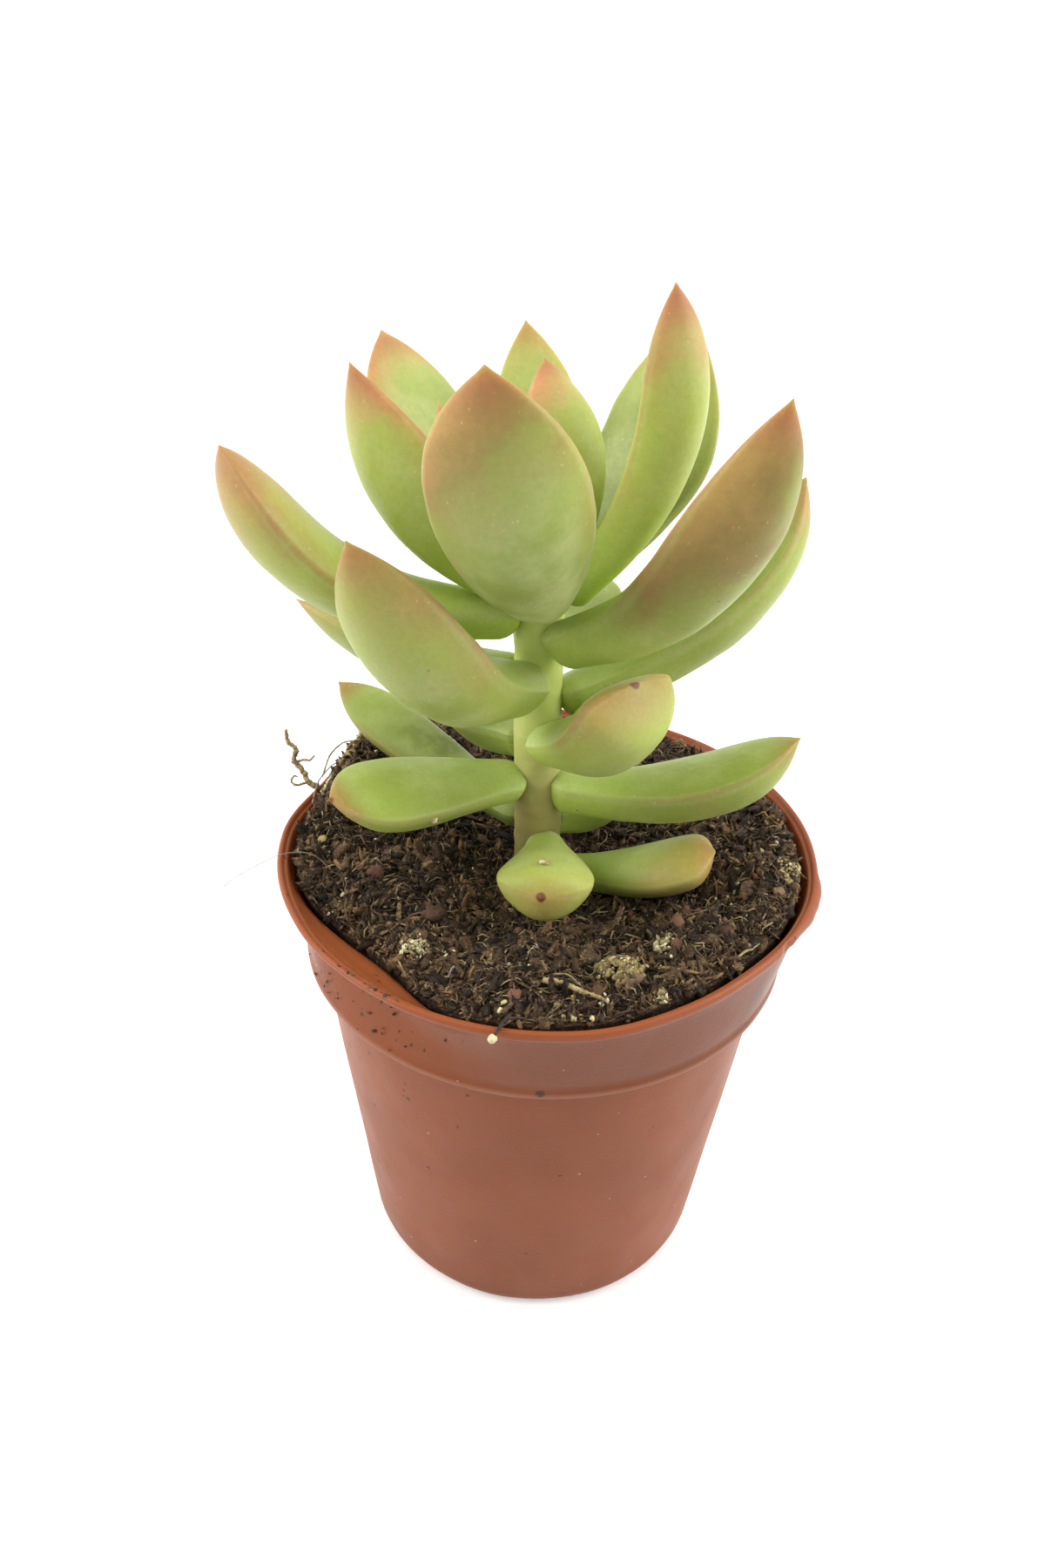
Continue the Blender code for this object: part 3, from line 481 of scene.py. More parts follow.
def mesh_piece(name, rings, finish, replaced=(), values=None):
    """Make one piece out of closed lofts, given as points (piece, ring, side, xyz), with values there."""
    pieces, count, sides = rings.shape[:3]
    points = with_ends(rings)
    quads, triangles = loft_layout(count, sides)
    first = points.shape[1] * np.arange(pieces)[:, None, None]
    quads = (quads + first).reshape(-1, 4)
    triangles = (triangles + first).reshape(-1, 3)
    points = points.reshape(-1, 3)
    halves = np.concatenate([points[quads[:, [0, 1, 2]]], points[quads[:, [0, 2, 3]]], points[triangles]])
    if np.einsum("ij,ij->", halves[:, 0], np.cross(halves[:, 1], halves[:, 2])) < 0:
        quads, triangles = quads[:, ::-1], triangles[:, ::-1]
    mesh = bpy.data.meshes.new(name)
    mesh.vertices.add(len(points))
    mesh.vertices.foreach_set("co", points.astype(np.float32).ravel())
    corners = np.concatenate([quads.ravel(), triangles.ravel()]).astype(np.int32)
    starts = np.concatenate([4 * np.arange(len(quads)), 4 * len(quads) + 3 * np.arange(len(triangles))])
    mesh.loops.add(len(corners))
    mesh.loops.foreach_set("vertex_index", corners)
    mesh.polygons.add(len(starts))
    mesh.polygons.foreach_set("loop_start", starts.astype(np.int32))
    mesh.update(calc_edges=True)
    mesh.validate()
    mesh.shade_smooth()
    for key, value in (values or {}).items():
        laid = with_ends(np.broadcast_to(value, rings.shape[:3]))
        mesh.attributes.new(key, "FLOAT", "POINT").data.foreach_set("value", laid.astype(np.float32).ravel())
    mesh.materials.append(finish)
    obj = bpy.data.objects.new(name, mesh)
    bpy.context.scene.collection.objects.link(obj)
    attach(obj, "root")
    if replaced:
        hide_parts(*replaced)
    return obj


def bit_piece(name, rings, finish, rng):
    """Make one piece of many loose bits, each with its own random tone."""
    mesh_piece(name, rings, finish, (), {"tone": rng.uniform(0, 1, (len(rings), 1, 1))})


def across_path(paths):
    """Two directions square to each path (piece, point, xyz) and to each other, at each of its points."""
    forward = np.gradient(paths, axis=1)
    forward /= np.linalg.norm(forward, axis=-1, keepdims=True) + 1e-12
    steep = np.abs(forward[..., 2:]) > 0.9
    helper = np.where(steep, np.array([1.0, 0.0, 0.0]), np.array([0.0, 0.0, 1.0]))
    side = np.cross(forward, helper)
    side /= np.linalg.norm(side, axis=-1, keepdims=True)
    return side, np.cross(side, forward)


def tubes(paths, radii, sides):
    """Rings round each path: its points plus the radius times a cosine and a sine on its two directions."""
    side, up = across_path(paths)
    turn = 2 * math.pi * np.arange(sides) / sides
    around = np.cos(turn)[:, None] * side[:, :, None] + np.sin(turn)[:, None] * up[:, :, None]
    return paths[:, :, None] + radii[..., None, None] * around


def turned_by(yaw, pitch, roll):
    """Matrices whose columns are a piece's long, side and up directions, for angles in radians."""
    long = np.stack([np.cos(yaw) * np.cos(pitch), np.sin(yaw) * np.cos(pitch), np.sin(pitch)], -1)
    level = np.stack([-np.sin(yaw), np.cos(yaw), 0 * yaw], -1)
    above = np.cross(long, level)
    side = np.cos(roll)[:, None] * level + np.sin(roll)[:, None] * above
    return np.stack([long, side, np.cross(long, side)], -1)


def any_turns(count, rng):
    """Turns in every direction."""
    return turned_by(*rng.uniform(-math.pi, math.pi, (3, count)))


def lying_turns(count, rng, tilt=0.35):
    """Turns that leave a piece lying nearly flat, with random tilts."""
    return turned_by(rng.uniform(-math.pi, math.pi, count), *rng.normal(0, tilt, (2, count)))


def lumps(centres, sizes, turns, rng, rings=4, sides=6, rough=0.3, shape=(1.0, 1.0, 1.0), spread=0.35):
    """Balls by latitude and longitude: points pushed in or out at random, stretched, turned and placed."""
    count = len(centres)
    latitude = np.linspace(0.5, math.pi - 0.5, rings)[:, None]
    longitude = 2 * math.pi * np.arange(sides) / sides
    level = np.sin(latitude)
    long = np.cos(latitude) + 0 * longitude
    ball = np.stack([long, level * np.cos(longitude), level * np.sin(longitude)], -1)
    pushed = ball * (1 + rough * rng.uniform(-1, 1, (count, rings, sides, 1)))
    stretch = rng.uniform(1 - spread, 1 + spread, (count, 1, 1, 3)) * np.array(shape)
    placed = np.einsum("nij,nrsj->nrsi", turns, pushed * stretch)
    return centres[:, None, None] + sizes[:, None, None, None] * placed


def smooth_curve(points, count):
    """A cubic through each point in turn, its slope there half the way between the point's neighbours."""
    points = np.array(points, float)
    padded = np.concatenate([2 * points[:1] - points[1:2], points, 2 * points[-1:] - points[-2:-1]])
    place = np.linspace(0, len(points) - 1 - 1e-9, count)
    i = place.astype(int)
    t = (place - i)[:, None]
    a, b, c, d = padded[i], padded[i + 1], padded[i + 2], padded[i + 3]
    slope = (c - a) * t + (2 * a - 5 * b + 4 * c - d) * t**2 + (3 * b - a - 3 * c + d) * t**3
    return b + slope / 2


# The forms shared by the pieces


def wall_shift(azimuth, height):
    """How far the pot's wall stands out of its turned circle: its waves less each press's two bumps."""
    wave = np.sin(np.radians(RIM_WAVES * azimuth + RIM_WAVE_START))
    shift = RIM_WAVE_HEIGHT * wave * bump(height - POT_HEIGHT, RIM_WAVE_REACH)
    for press in (COLLAR_DENT, COLLAR_FOLD, RIM_PINCH, RIM_FLAT):
        across = bump(angle_between(azimuth, press.azimuth), press.half_angle)
        shift = shift - press.depth * across * bump(height - press.height, press.half_height)
    return shift


def body_radius(height):
    """The outer radius of the pot's body: a straight taper."""
    return BODY_FOOT_RADIUS + (BODY_TOP_RADIUS - BODY_FOOT_RADIUS) * height / (POT_HEIGHT - COLLAR_HEIGHT)


def soil_level(x, y):
    """The soil's level: a hollow round the stem, a dip along the dent and a heap, each a smooth bump."""
    radius = np.hypot(x, y)
    azimuth = np.degrees(np.arctan2(y, x))
    hollow = bump(np.hypot(x - SOIL_HOLLOW_CENTRE[0], y - SOIL_HOLLOW_CENTRE[1]), SOIL_HOLLOW_RADIUS)
    dip = bump(angle_between(azimuth, COLLAR_DENT.azimuth), COLLAR_DENT.half_angle)
    dip = dip * np.minimum(1.0, radius / BODY_TOP_RADIUS) ** SOIL_DIP_POWER
    heap = bump(angle_between(azimuth, SOIL_HEAP_AZIMUTH), SOIL_HEAP_HALF_ANGLE)
    heap = heap * bump(radius - SOIL_HEAP_RADIUS, SOIL_HEAP_REACH)
    return SOIL_LEVEL - SOIL_HOLLOW_DEPTH * hollow - SOIL_DIP_DEPTH * dip + SOIL_HEAP_HEIGHT * heap


def soil_height(x, y, relief=1.0):
    """The soil's surface: its level plus clods in three sizes, creases and low rolls, calmer at the stem."""
    place = np.stack([x, y, np.zeros_like(x)], -1)
    bent = place + 0.0008 * np.stack([smooth_noise(place, 0.0011, s) for s in (51, 52, 53)], -1)
    clod = np.clip(1 - cell_noise(place, 0.0036, 11) ** 2, 0, 1) - 0.5
    crumb = np.clip(1 - cell_noise(bent, 0.0015, 23) ** 2, 0, 1) - 0.5
    bit = np.clip(1 - cell_noise(bent, 0.0006, 37) ** 2, 0, 1) - 0.5
    crease = 0.5 - np.abs(smooth_noise(bent, 0.0009, 61))
    rough = 0.0010 * clod + 0.0008 * crumb + 0.0004 * bit + 0.0005 * crease
    rough = rough + 0.0009 * smooth_noise(place, 0.0070, 41)
    away = np.hypot(x - SOIL_HOLLOW_CENTRE[0], y - SOIL_HOLLOW_CENTRE[1])
    calm = 1 - SOIL_CALM_SHARE * bump(away, SOIL_CALM_RADIUS)
    inside = local_edge(np.degrees(np.arctan2(y, x))) - np.hypot(x, y)
    return soil_level(x, y) + relief * calm * (0.25 + 0.75 * rise(inside, 0.0, 0.0022)) * rough


def turned_edge(height):
    """The radius just inside the collar's inner wall, were the wall a turned one."""
    return COLLAR_TOP_RADIUS - WALL - SOIL_EDGE_GAP - np.maximum(0.0, POT_HEIGHT - height) * COLLAR_TAPER


def soil_edge(azimuth, height):
    """The radius at which the soil meets the collar's inner wall."""
    return turned_edge(height) + wall_shift(azimuth, height)


def local_edge(azimuth):
    """The soil's reach at each azimuth, at the height that the soil has there."""
    azimuth = np.asarray(azimuth, float)
    first = edge = soil_edge(azimuth, SOIL_LEVEL)
    for _ in range(3):
        edge = np.minimum(first, soil_edge(azimuth, soil_level(*polar(edge, azimuth))))
    return edge


def held_in(x, y, margin):
    """Places drawn in towards the axis until they lie a margin inside the pot's wall."""
    limit = local_edge(np.degrees(np.arctan2(y, x))) - margin
    hold = np.minimum(1.0, limit / np.maximum(np.hypot(x, y), 1e-9))
    return x * hold, y * hold


def on_soil(x, y, lift=0.0):
    """Points on the soil's surface, raised by a lift."""
    return np.stack([x, y, soil_height(x, y) + lift], -1)


def stem_centre(height):
    """The stem's centre line, leaning a little to the left on its way up."""
    height = np.asarray(height, float)
    return np.stack([STEM_FOOT_X + STEM_LEAN * (height - POT_HEIGHT), 0 * height, height], -1)


def outline(along, neck, belly, blunt):
    """A smooth step from the neck's share up to 1 at the belly, then 1 less a power, down to 0 at the tip."""
    rising = neck + (1 - neck) * ease(along / belly)
    falling = 1 - np.clip((along - belly) / (1 - belly), 0.0, 1.0) ** blunt
    return np.where(along < belly, rising, falling)


def leaf_midline(leaf, root_offset):
    """A path that turns up by the leaf's curl and sideways by its sweep, with its rolled side and up."""
    fine = np.linspace(0.0, 1.0, 400)
    pitch = np.radians(leaf.rise + leaf.curl * ease(fine))
    turn = np.radians(leaf.heading + leaf.sweep * fine)
    forward = np.stack([np.cos(pitch) * np.cos(turn), np.cos(pitch) * np.sin(turn), np.sin(pitch)], -1)
    up = np.stack([-np.sin(pitch) * np.cos(turn), -np.sin(pitch) * np.sin(turn), np.cos(pitch)], -1)
    side = np.cross(forward, up)
    seat = math.radians(leaf.seat)
    root = stem_centre(leaf.height) + root_offset * np.array([math.cos(seat), math.sin(seat), 0.0])
    steps = (forward[1:] + forward[:-1]) / 2 * leaf.length / (len(fine) - 1)
    path = root + np.concatenate([np.zeros((1, 3)), np.cumsum(steps, axis=0)])
    roll = np.radians(leaf.roll + leaf.twist * fine)[:, None]
    return fine, path, np.cos(roll) * side + np.sin(roll) * up, np.cos(roll) * up - np.sin(roll) * side


def leaf_surface(leaf, rings, sides, dents, root_offset=LEAF_ROOT_OFFSET):
    """Rings of a lens shape along the leaf's midline, and the values that its skin is coloured by.

    The lens is the cosine across and a power of the sine in depth. Slow noise dents it and its tip draws
    out into a small point. The values tell how far along, how near the margin and on which face a point is.
    sting becomes a spot: it falls with the distance from the tip.
    """
    fine, *fields = leaf_midline(leaf, root_offset)
    along = (1 - np.cos(np.linspace(0.02, math.pi - 0.03, rings))) / 2
    path, side, up = (np.stack([np.interp(along, fine, f[:, k]) for k in range(3)], -1) for f in fields)
    form = leaf.form
    knuckle = np.sqrt(1 - (1 - np.clip(along / LEAF_KNUCKLE, 0.0, 1.0)) ** 2)
    half_width = leaf.width / 2 * outline(along, form.neck, form.belly, form.blunt) * knuckle
    depth = leaf.depth * outline(along, form.deep_neck, form.deep_belly, form.deep_blunt) * knuckle
    angle = 2 * math.pi * np.arange(sides) / sides
    lens = np.abs(np.sin(angle)) ** LEAF_EDGE_POWER * np.where(np.sin(angle) < 0, form.top - 1, form.top)
    across = np.outer(half_width, np.cos(angle))
    level = np.outer(depth, lens)
    out = across[..., None] * side[:, None] + level[..., None] * up[:, None]
    points = path[:, None] + out
    salt = sum(map(ord, leaf.name))
    pushed = dents * (smooth_noise(points, 0.0060, salt) + 0.4 * smooth_noise(points, 0.0022, salt + 9))
    points = points + out * pushed[..., None]
    forward = (path[-1] - path[-3]) / np.linalg.norm(path[-1] - path[-3])
    points = points + 0.00012 * rise(along, 0.985, 1.0)[:, None, None] * forward
    values = {"along": along[:, None], "side": np.cos(angle)[None], "face": np.sin(angle)[None]}
    values.update(FINISHES[leaf.name]._asdict())
    from_tip = np.linalg.norm(points - points[-1].mean(0), axis=-1)
    values["sting"] = values["sting"] * bump(from_tip, LEAF_TIP_SPOT)
    return points, {key: np.broadcast_to(value, across.shape)[None] for key, value in values.items()}


# Shader wiring


class Wiring:
    """Adds and links the nodes of one shader tree; a value is a number, a colour or a socket."""

    def __init__(self, tree):
        self.tree = tree

    def put(self, target, value):
        """Set or link one input; a colour of three numbers is made opaque."""
        if isinstance(value, bpy.types.NodeSocket):
            self.tree.links.new(value, target)
        elif target.type == "RGBA" and len(value) == 3:
            target.default_value = (*value, 1.0)
        else:
            target.default_value = value

    def node(self, kind, inputs=None, **settings):
        """Add a node with its settings and inputs."""
        made = self.tree.nodes.new(kind)
        for key, value in settings.items():
            setattr(made, key, value)
        for key, value in (inputs or {}).items():
            self.put(made.inputs[key], value)
        return made

    def math(self, operation, a, b=0.0, clamp=False):
        """One sum on two values."""
        return self.node("ShaderNodeMath", {0: a, 1: b}, operation=operation, use_clamp=clamp).outputs[0]

    def vector(self, operation, a, b):
        """The node of one sum on two vectors."""
        return self.node("ShaderNodeVectorMath", {0: a, 1: b}, operation=operation)

    def times(self, first, *others):
        """The product of several values."""
        for other in others:
            first = self.math("MULTIPLY", first, other)
        return first

    def plus(self, first, *others):
        """The sum of several values."""
        for other in others:
            first = self.math("ADD", first, other)
        return first

    def ramp(self, value, low, high, to_low=0.0, to_high=1.0):
        """A smooth step of a value between two limits."""
        inputs = {"Value": value, "From Min": low, "From Max": high, "To Min": to_low, "To Max": to_high}
        return self.node("ShaderNodeMapRange", inputs, interpolation_type="SMOOTHSTEP").outputs[0]

    def mix(self, factor, a, b, blend="MIX"):
        """Mix two colours."""
        made = self.node("ShaderNodeMix", {0: factor, 6: a, 7: b}, data_type="RGBA", blend_type=blend)
        return made.outputs[2]

    def place(self):
        """The point's place on the object, in metres."""
        return self.node("ShaderNodeTexCoord").outputs["Object"]

    def value(self, name):
        """A value that the mesh carries at its points."""
        return self.node("ShaderNodeAttribute", attribute_name=name).outputs["Fac"]

    def noise(self, size, detail=2.0, rough=0.5, where=None, twist=0.0):
        """Soft noise whose grains are of a size in metres."""
        inputs = {"Vector": where or self.place(), "Scale": 1.0 / size, "Detail": detail, "Roughness": rough}
        inputs["Distortion"] = twist
        return self.node("ShaderNodeTexNoise", inputs).outputs[0]

    def sway(self, size, reach):
        """Soft noise of a size, from minus to plus half a reach."""
        return self.times(self.plus(self.noise(size, 3.0), -0.5), reach)

    def channel(self, colour, index):
        """One channel of a colour."""
        return self.node("ShaderNodeSeparateColor", {0: colour}).outputs[index]

    def axis(self, vector, index):
        """One coordinate of a vector."""
        return self.node("ShaderNodeSeparateXYZ", {0: vector}).outputs[index]

    def near(self, point, inner, outer, wobble=0.0):
        """1 inside a distance of a point, falling to 0 at an outer distance, with a ragged edge."""
        away = self.vector("DISTANCE", self.place(), point).outputs["Value"]
        ragged = self.plus(away, self.sway(0.0012, wobble))
        return self.ramp(ragged, inner, outer, 1.0, 0.0)


def group(name, inputs, outputs=(("Color", "Color"), ("Roughness", "Float"), ("Height", "Float"))):
    """A new shader node group: inputs are (name, kind, default). Returns its wiring, start and end."""
    tree = bpy.data.node_groups.new(name, "ShaderNodeTree")
    for label, kind, default in inputs:
        socket = tree.interface.new_socket(label, in_out="INPUT", socket_type="NodeSocket" + kind)
        socket.default_value = default
    for label, kind in outputs:
        tree.interface.new_socket(label, in_out="OUTPUT", socket_type="NodeSocket" + kind)
    wiring = Wiring(tree)
    return wiring, wiring.node("NodeGroupInput").outputs, wiring.node("NodeGroupOutput").inputs


def use_group(wiring, name, **inputs):
    """Place a group in a tree, built at its first use; an input's name has underscores for spaces."""
    if name not in bpy.data.node_groups:
        GROUPS[name]()
    made = wiring.node("ShaderNodeGroup", node_tree=bpy.data.node_groups[name])
    for key, value in inputs.items():
        wiring.put(made.inputs[key.replace("_", " ")], value)
    return made.outputs


def material(name, colour, roughness, height=None, lift=0.0001, **constants):
    """A Principled BSDF material. Height is a function of its wiring; colour and roughness may be values."""
    made = bpy.data.materials.new(name)
    made.use_nodes = True
    wiring = Wiring(made.node_tree)
    shader = made.node_tree.nodes["Principled BSDF"]
    for key, value in constants.items():
        shader.inputs[key.replace("_", " ")].default_value = value
    wiring.put(shader.inputs["Base Color"], colour(wiring) if callable(colour) else colour)
    wiring.put(shader.inputs["Roughness"], roughness(wiring) if callable(roughness) else roughness)
    if height:
        inputs = {"Height": height(wiring), "Distance": lift, "Strength": 1.0}
        wiring.put(shader.inputs["Normal"], wiring.node("ShaderNodeBump", inputs).outputs[0])
    return made


def build_speck_group():
    """Scattered specks: cells whose random number is low, inside a random radius with a ragged edge."""
    defaults = {"Size": 0.001, "Share": 0.1, "Radius": 0.2, "Salt": 0.0}
    inputs = [(label, "Float", default) for label, default in defaults.items()]
    wiring, given, put = group("specks", inputs, (("Mask", "Float"),))
    moved = wiring.vector("ADD", wiring.place(), given["Salt"]).outputs[0]
    wobble = wiring.node("ShaderNodeTexNoise", {"Vector": moved, "Scale": 1500.0, "Detail": 2.0}).outputs[1]
    shaken = wiring.vector("MULTIPLY", wobble, (0.0006,) * 3).outputs[0]
    moved = wiring.vector("ADD", moved, shaken).outputs[0]
    scale = wiring.math("DIVIDE", 1.0, given["Size"])
    cell = wiring.node("ShaderNodeTexVoronoi", {"Vector": moved, "Scale": scale})
    kept = wiring.math("LESS_THAN", wiring.channel(cell.outputs["Color"], 0), given["Share"])
    radius = wiring.times(given["Radius"], wiring.channel(cell.outputs["Color"], 1))
    inside = wiring.ramp(cell.outputs["Distance"], wiring.times(radius, 0.6), radius, 1.0, 0.0)
    wiring.put(put["Mask"], wiring.times(kept, inside))


def build_leaf_group():
    """A leaf's skin: flesh from root to tip, wax, a patchy blush, a margin line, a tip point and specks."""
    names = ("Root", "Green", "Ripe", "Bloom", "Pink", "Brown", "Orange", "Margin", "Spot")
    inputs = [(name, "Color", (0.5, 0.5, 0.5, 1)) for name in names] + [("Top Shade", "Float", 0.0)]
    wiring, given, put = group("leaf_tones", inputs)
    along, side, face = wiring.value("along"), wiring.value("side"), wiring.value("face")
    edge = wiring.math("ABSOLUTE", side)
    slow, patch = wiring.noise(0.0055, 3.0), wiring.noise(0.0017, 4.0, 0.6)
    fine = wiring.noise(0.0005, 3.0, 0.6)
    swayed = wiring.plus(along, wiring.sway(0.004, 0.12))
    # Painted glow: the flesh runs from the root colour, pale and lightened as if lit through, to the green.
    tone = wiring.mix(wiring.ramp(swayed, 0.08, 0.46), given["Root"], given["Green"])
    ripe = wiring.times(wiring.value("ripe"), wiring.ramp(along, 0.10, 0.80, 0.35, 1.0))
    ripe = wiring.math("ADD", ripe, wiring.times(wiring.plus(slow, -0.5), 0.6), clamp=True)
    tone = wiring.mix(ripe, tone, given["Ripe"])
    # Painted shade: darkens the leaf by its own amount, most towards its root and least towards its tip.
    deep = wiring.times(wiring.value("deep"), wiring.ramp(along, 0.40, 0.85, 0.80, 0.25))
    deep = wiring.mix(deep, (1.0, 1.0, 1.0), (0.0, 0.03, 0.0))
    tone = wiring.mix(1.0, tone, deep, "MULTIPLY")
    # Painted light: the upper face near the neck is lightened towards the bloom colour, as where it faces up
    # into the light.
    neck = wiring.times(wiring.ramp(along, 0.26, 0.10), wiring.ramp(face, 0.0, 0.15), 0.6)
    tone = wiring.mix(neck, tone, given["Bloom"])
    middle = wiring.times(wiring.ramp(along, 0.1, 0.4), wiring.ramp(along, 1.0, 0.75))
    middle = wiring.times(middle, wiring.ramp(edge, 1.0, 0.5))
    bloom = wiring.times(middle, wiring.ramp(slow, 0.32, 0.60), wiring.ramp(patch, 0.2, 0.65, 0.5, 1.0), 0.5)
    tone = wiring.mix(wiring.plus(bloom, wiring.ramp(face, 0.05, 0.3, 0.0, 0.12)), tone, given["Bloom"])
    start = wiring.math("SUBTRACT", 1.0, wiring.value("blush"))
    near = wiring.plus(along, wiring.times(wiring.math("POWER", edge, 5.0), 0.08))
    near = wiring.plus(near, wiring.times(wiring.value("lean"), side, wiring.ramp(along, 0.1, 0.5), 0.28))
    slow_wave = wiring.times(wiring.plus(slow, -0.5), 0.35)
    near = wiring.plus(near, slow_wave, wiring.times(wiring.plus(patch, -0.5), 0.14))
    amount = wiring.ramp(near, wiring.plus(start, -0.12), wiring.plus(start, 0.26))
    old = wiring.mix(wiring.ramp(near, wiring.plus(start, 0.10), 1.05), given["Brown"], given["Orange"])
    blush = wiring.mix(wiring.value("rust"), given["Pink"], old)
    tone = wiring.mix(wiring.times(amount, wiring.value("flush")), tone, blush)
    tone = wiring.mix(wiring.times(wiring.ramp(edge, 0.93, 0.985), 0.25), tone, given["Bloom"])
    soft = wiring.times(wiring.ramp(edge, 0.66, 1.0), wiring.value("margin"))
    soft = wiring.times(soft, wiring.ramp(slow, 0.40, 0.6), 0.50)
    soft = wiring.times(soft, wiring.ramp(along, 0.25, 0.55), wiring.value("flush"))
    tone = wiring.mix(soft, tone, wiring.mix(0.5, blush, given["Margin"]))
    outer = wiring.ramp(along, 0.25, 0.8, 0.10, 0.60)
    line = wiring.times(wiring.ramp(edge, 0.975, 0.998), wiring.value("margin"), outer)
    tone = wiring.mix(wiring.times(line, wiring.ramp(patch, 0.3, 0.6, 0.35, 1.0)), tone, given["Margin"])
    point = wiring.times(wiring.ramp(along, 0.86, 0.99), wiring.value("flush"), 0.95)
    tone = wiring.mix(point, tone, given["Margin"])
    shade = wiring.times(wiring.ramp(face, -0.03, 0.08), given["Top Shade"])
    tone = wiring.mix(shade, tone, wiring.mix(1.0, tone, (0.86, 0.94, 0.66), "MULTIPLY"))
    streaks = wiring.node("ShaderNodeCombineXYZ", {0: wiring.times(along, 2.2), 1: face, 2: side}).outputs[0]
    streak = wiring.node("ShaderNodeTexNoise", {"Vector": streaks, "Scale": 4.0, "Detail": 3.0}).outputs[0]
    blotch = wiring.plus(wiring.times(patch, 0.7), wiring.times(streak, 0.3))
    mottle = wiring.mix(blotch, (0.90, 0.91, 0.88), (1.10, 1.09, 1.12))
    tone = wiring.mix(1.0, tone, mottle, "MULTIPLY")
    tone = wiring.mix(1.0, tone, wiring.mix(fine, (0.86, 0.87, 0.84), (1.14, 1.13, 1.16)), "MULTIPLY")
    dots = use_group(wiring, "specks", Size=0.0007, Share=0.9, Radius=0.20, Salt=0.5)["Mask"]
    tone = wiring.mix(wiring.times(dots, wiring.ramp(slow, 0.4, 0.65, 0.08, 0.30)), tone, (0.80, 0.80, 0.52))
    tip = wiring.ramp(wiring.plus(wiring.value("sting"), wiring.times(patch, 0.25)), 0.45, 0.85)
    tone = wiring.mix(wiring.times(tip, 0.9), tone, given["Spot"])
    specks = use_group(wiring, "specks", Size=0.0026, Share=0.40, Radius=0.070)["Mask"]
    tone = wiring.mix(wiring.times(specks, wiring.ramp(along, 0.85, 0.4), 0.85), tone, (0.06, 0.045, 0.025))
    wiring.put(put["Color"], tone)
    wiring.put(put["Roughness"], wiring.plus(0.36, wiring.times(fine, 0.12), wiring.times(patch, 0.12)))
    wiring.put(put["Height"], wiring.plus(fine, wiring.times(patch, 0.9), wiring.times(streak, 0.25)))


def build_peat_group():
    """Peat: dark mixed with brown by noise in two sizes and the bit's own tone, and thin golden threads."""
    inputs = [(name, "Color", (0.5, 0.5, 0.5, 1)) for name in ("Dark", "Brown", "Gold")]
    wiring, given, put = group("peat_tones", inputs + [("Gold Share", "Float", 0.10)])
    coarse, fine = wiring.noise(0.0018, 4.0, 0.65), wiring.noise(0.00030, 3.0, 0.65)
    tone = wiring.value("tone")
    own = wiring.times(wiring.plus(tone, -0.5), 0.36)
    mixed = wiring.plus(wiring.times(coarse, 0.4), wiring.times(fine, 0.6), own)
    colour = wiring.mix(wiring.ramp(mixed, 0.36, 0.72), given["Dark"], given["Brown"])
    patchy = wiring.ramp(wiring.noise(0.0050, 3.0, 0.6), 0.35, 0.65)
    colour = wiring.mix(1.0, colour, wiring.mix(patchy, (0.55, 0.55, 0.55), (1.45, 1.42, 1.30)), "MULTIPLY")
    threads = wiring.noise(0.0008, 4.0, 0.6, twist=1.8)
    gold = wiring.ramp(wiring.plus(threads, wiring.times(given["Gold Share"], tone)), 0.63, 0.78)
    wiring.put(put["Color"], wiring.mix(wiring.times(gold, 0.8), colour, given["Gold"]))
    wiring.put(put["Roughness"], wiring.ramp(wiring.noise(0.0009, 3.0), 0.35, 0.65, 0.55, 0.95))
    wiring.put(put["Height"], wiring.plus(coarse, wiring.times(fine, 0.8)))


GROUPS = {"specks": build_speck_group, "leaf_tones": build_leaf_group, "peat_tones": build_peat_group}


def group_finish(name, tones):
    """Three functions of a wiring that place a group in its tones: for the colour, roughness and height."""

    def part(output):
        return lambda wiring: use_group(wiring, name, **tones)[output]

    return part("Color"), part("Roughness"), part("Height")


def through(weight, radius, scale):
    """The constants of a skin that lets light in: its share, how far each colour goes, and the distance."""
    return {"Subsurface_Weight": weight, "Subsurface_Radius": radius, "Subsurface_Scale": scale}


def leaf_material(name, colours, green, ripe, top_shade=0.1):
    """A leaf skin in the leaf group's tones, a little see-through."""
    tones = {
        "Top_Shade": top_shade,
        "Root": colours.leaf_root,
        "Green": green,
        "Ripe": ripe,
        "Bloom": colours.leaf_bloom,
        "Pink": colours.blush_pink,
        "Brown": colours.blush_brown,
        "Orange": colours.blush_orange,
        "Margin": colours.leaf_margin,
        "Spot": colours.leaf_spot,
    }
    light = through(0.32, (0.9, 1.0, 0.35), 0.0022)
    grain = bpy.context.scene.sedum_sizes.leaf_grain
    return material(name, *group_finish("leaf_tones", tones), grain, **light, IOR=1.38)


def peat_material(name, colours, lift, bright=1.0, gold_share=0.10):
    """A soil finish in the peat group's tones, its brown brightened by a factor."""
    tones = {
        "Dark": colours.peat_dark * bright,
        "Brown": colours.peat_brown * bright,
        "Gold": colours.peat_gold,
        "Gold_Share": gold_share,
    }
    return material(name, *group_finish("peat_tones", tones), lift, IOR=1.35)


def toned(dark, light, size=0.0008):
    """A colour function: two tones mixed by noise and by the bit's own tone."""

    def colour(wiring):
        share_light = wiring.plus(wiring.noise(size, 3.0), wiring.plus(wiring.value("tone"), -0.5))
        return wiring.mix(wiring.ramp(share_light, 0.25, 0.75), dark, light)

    return colour


def grainy(size):
    """A height function: noise of one size."""
    return lambda wiring: wiring.noise(size, 3.0, 0.6)


# The pot


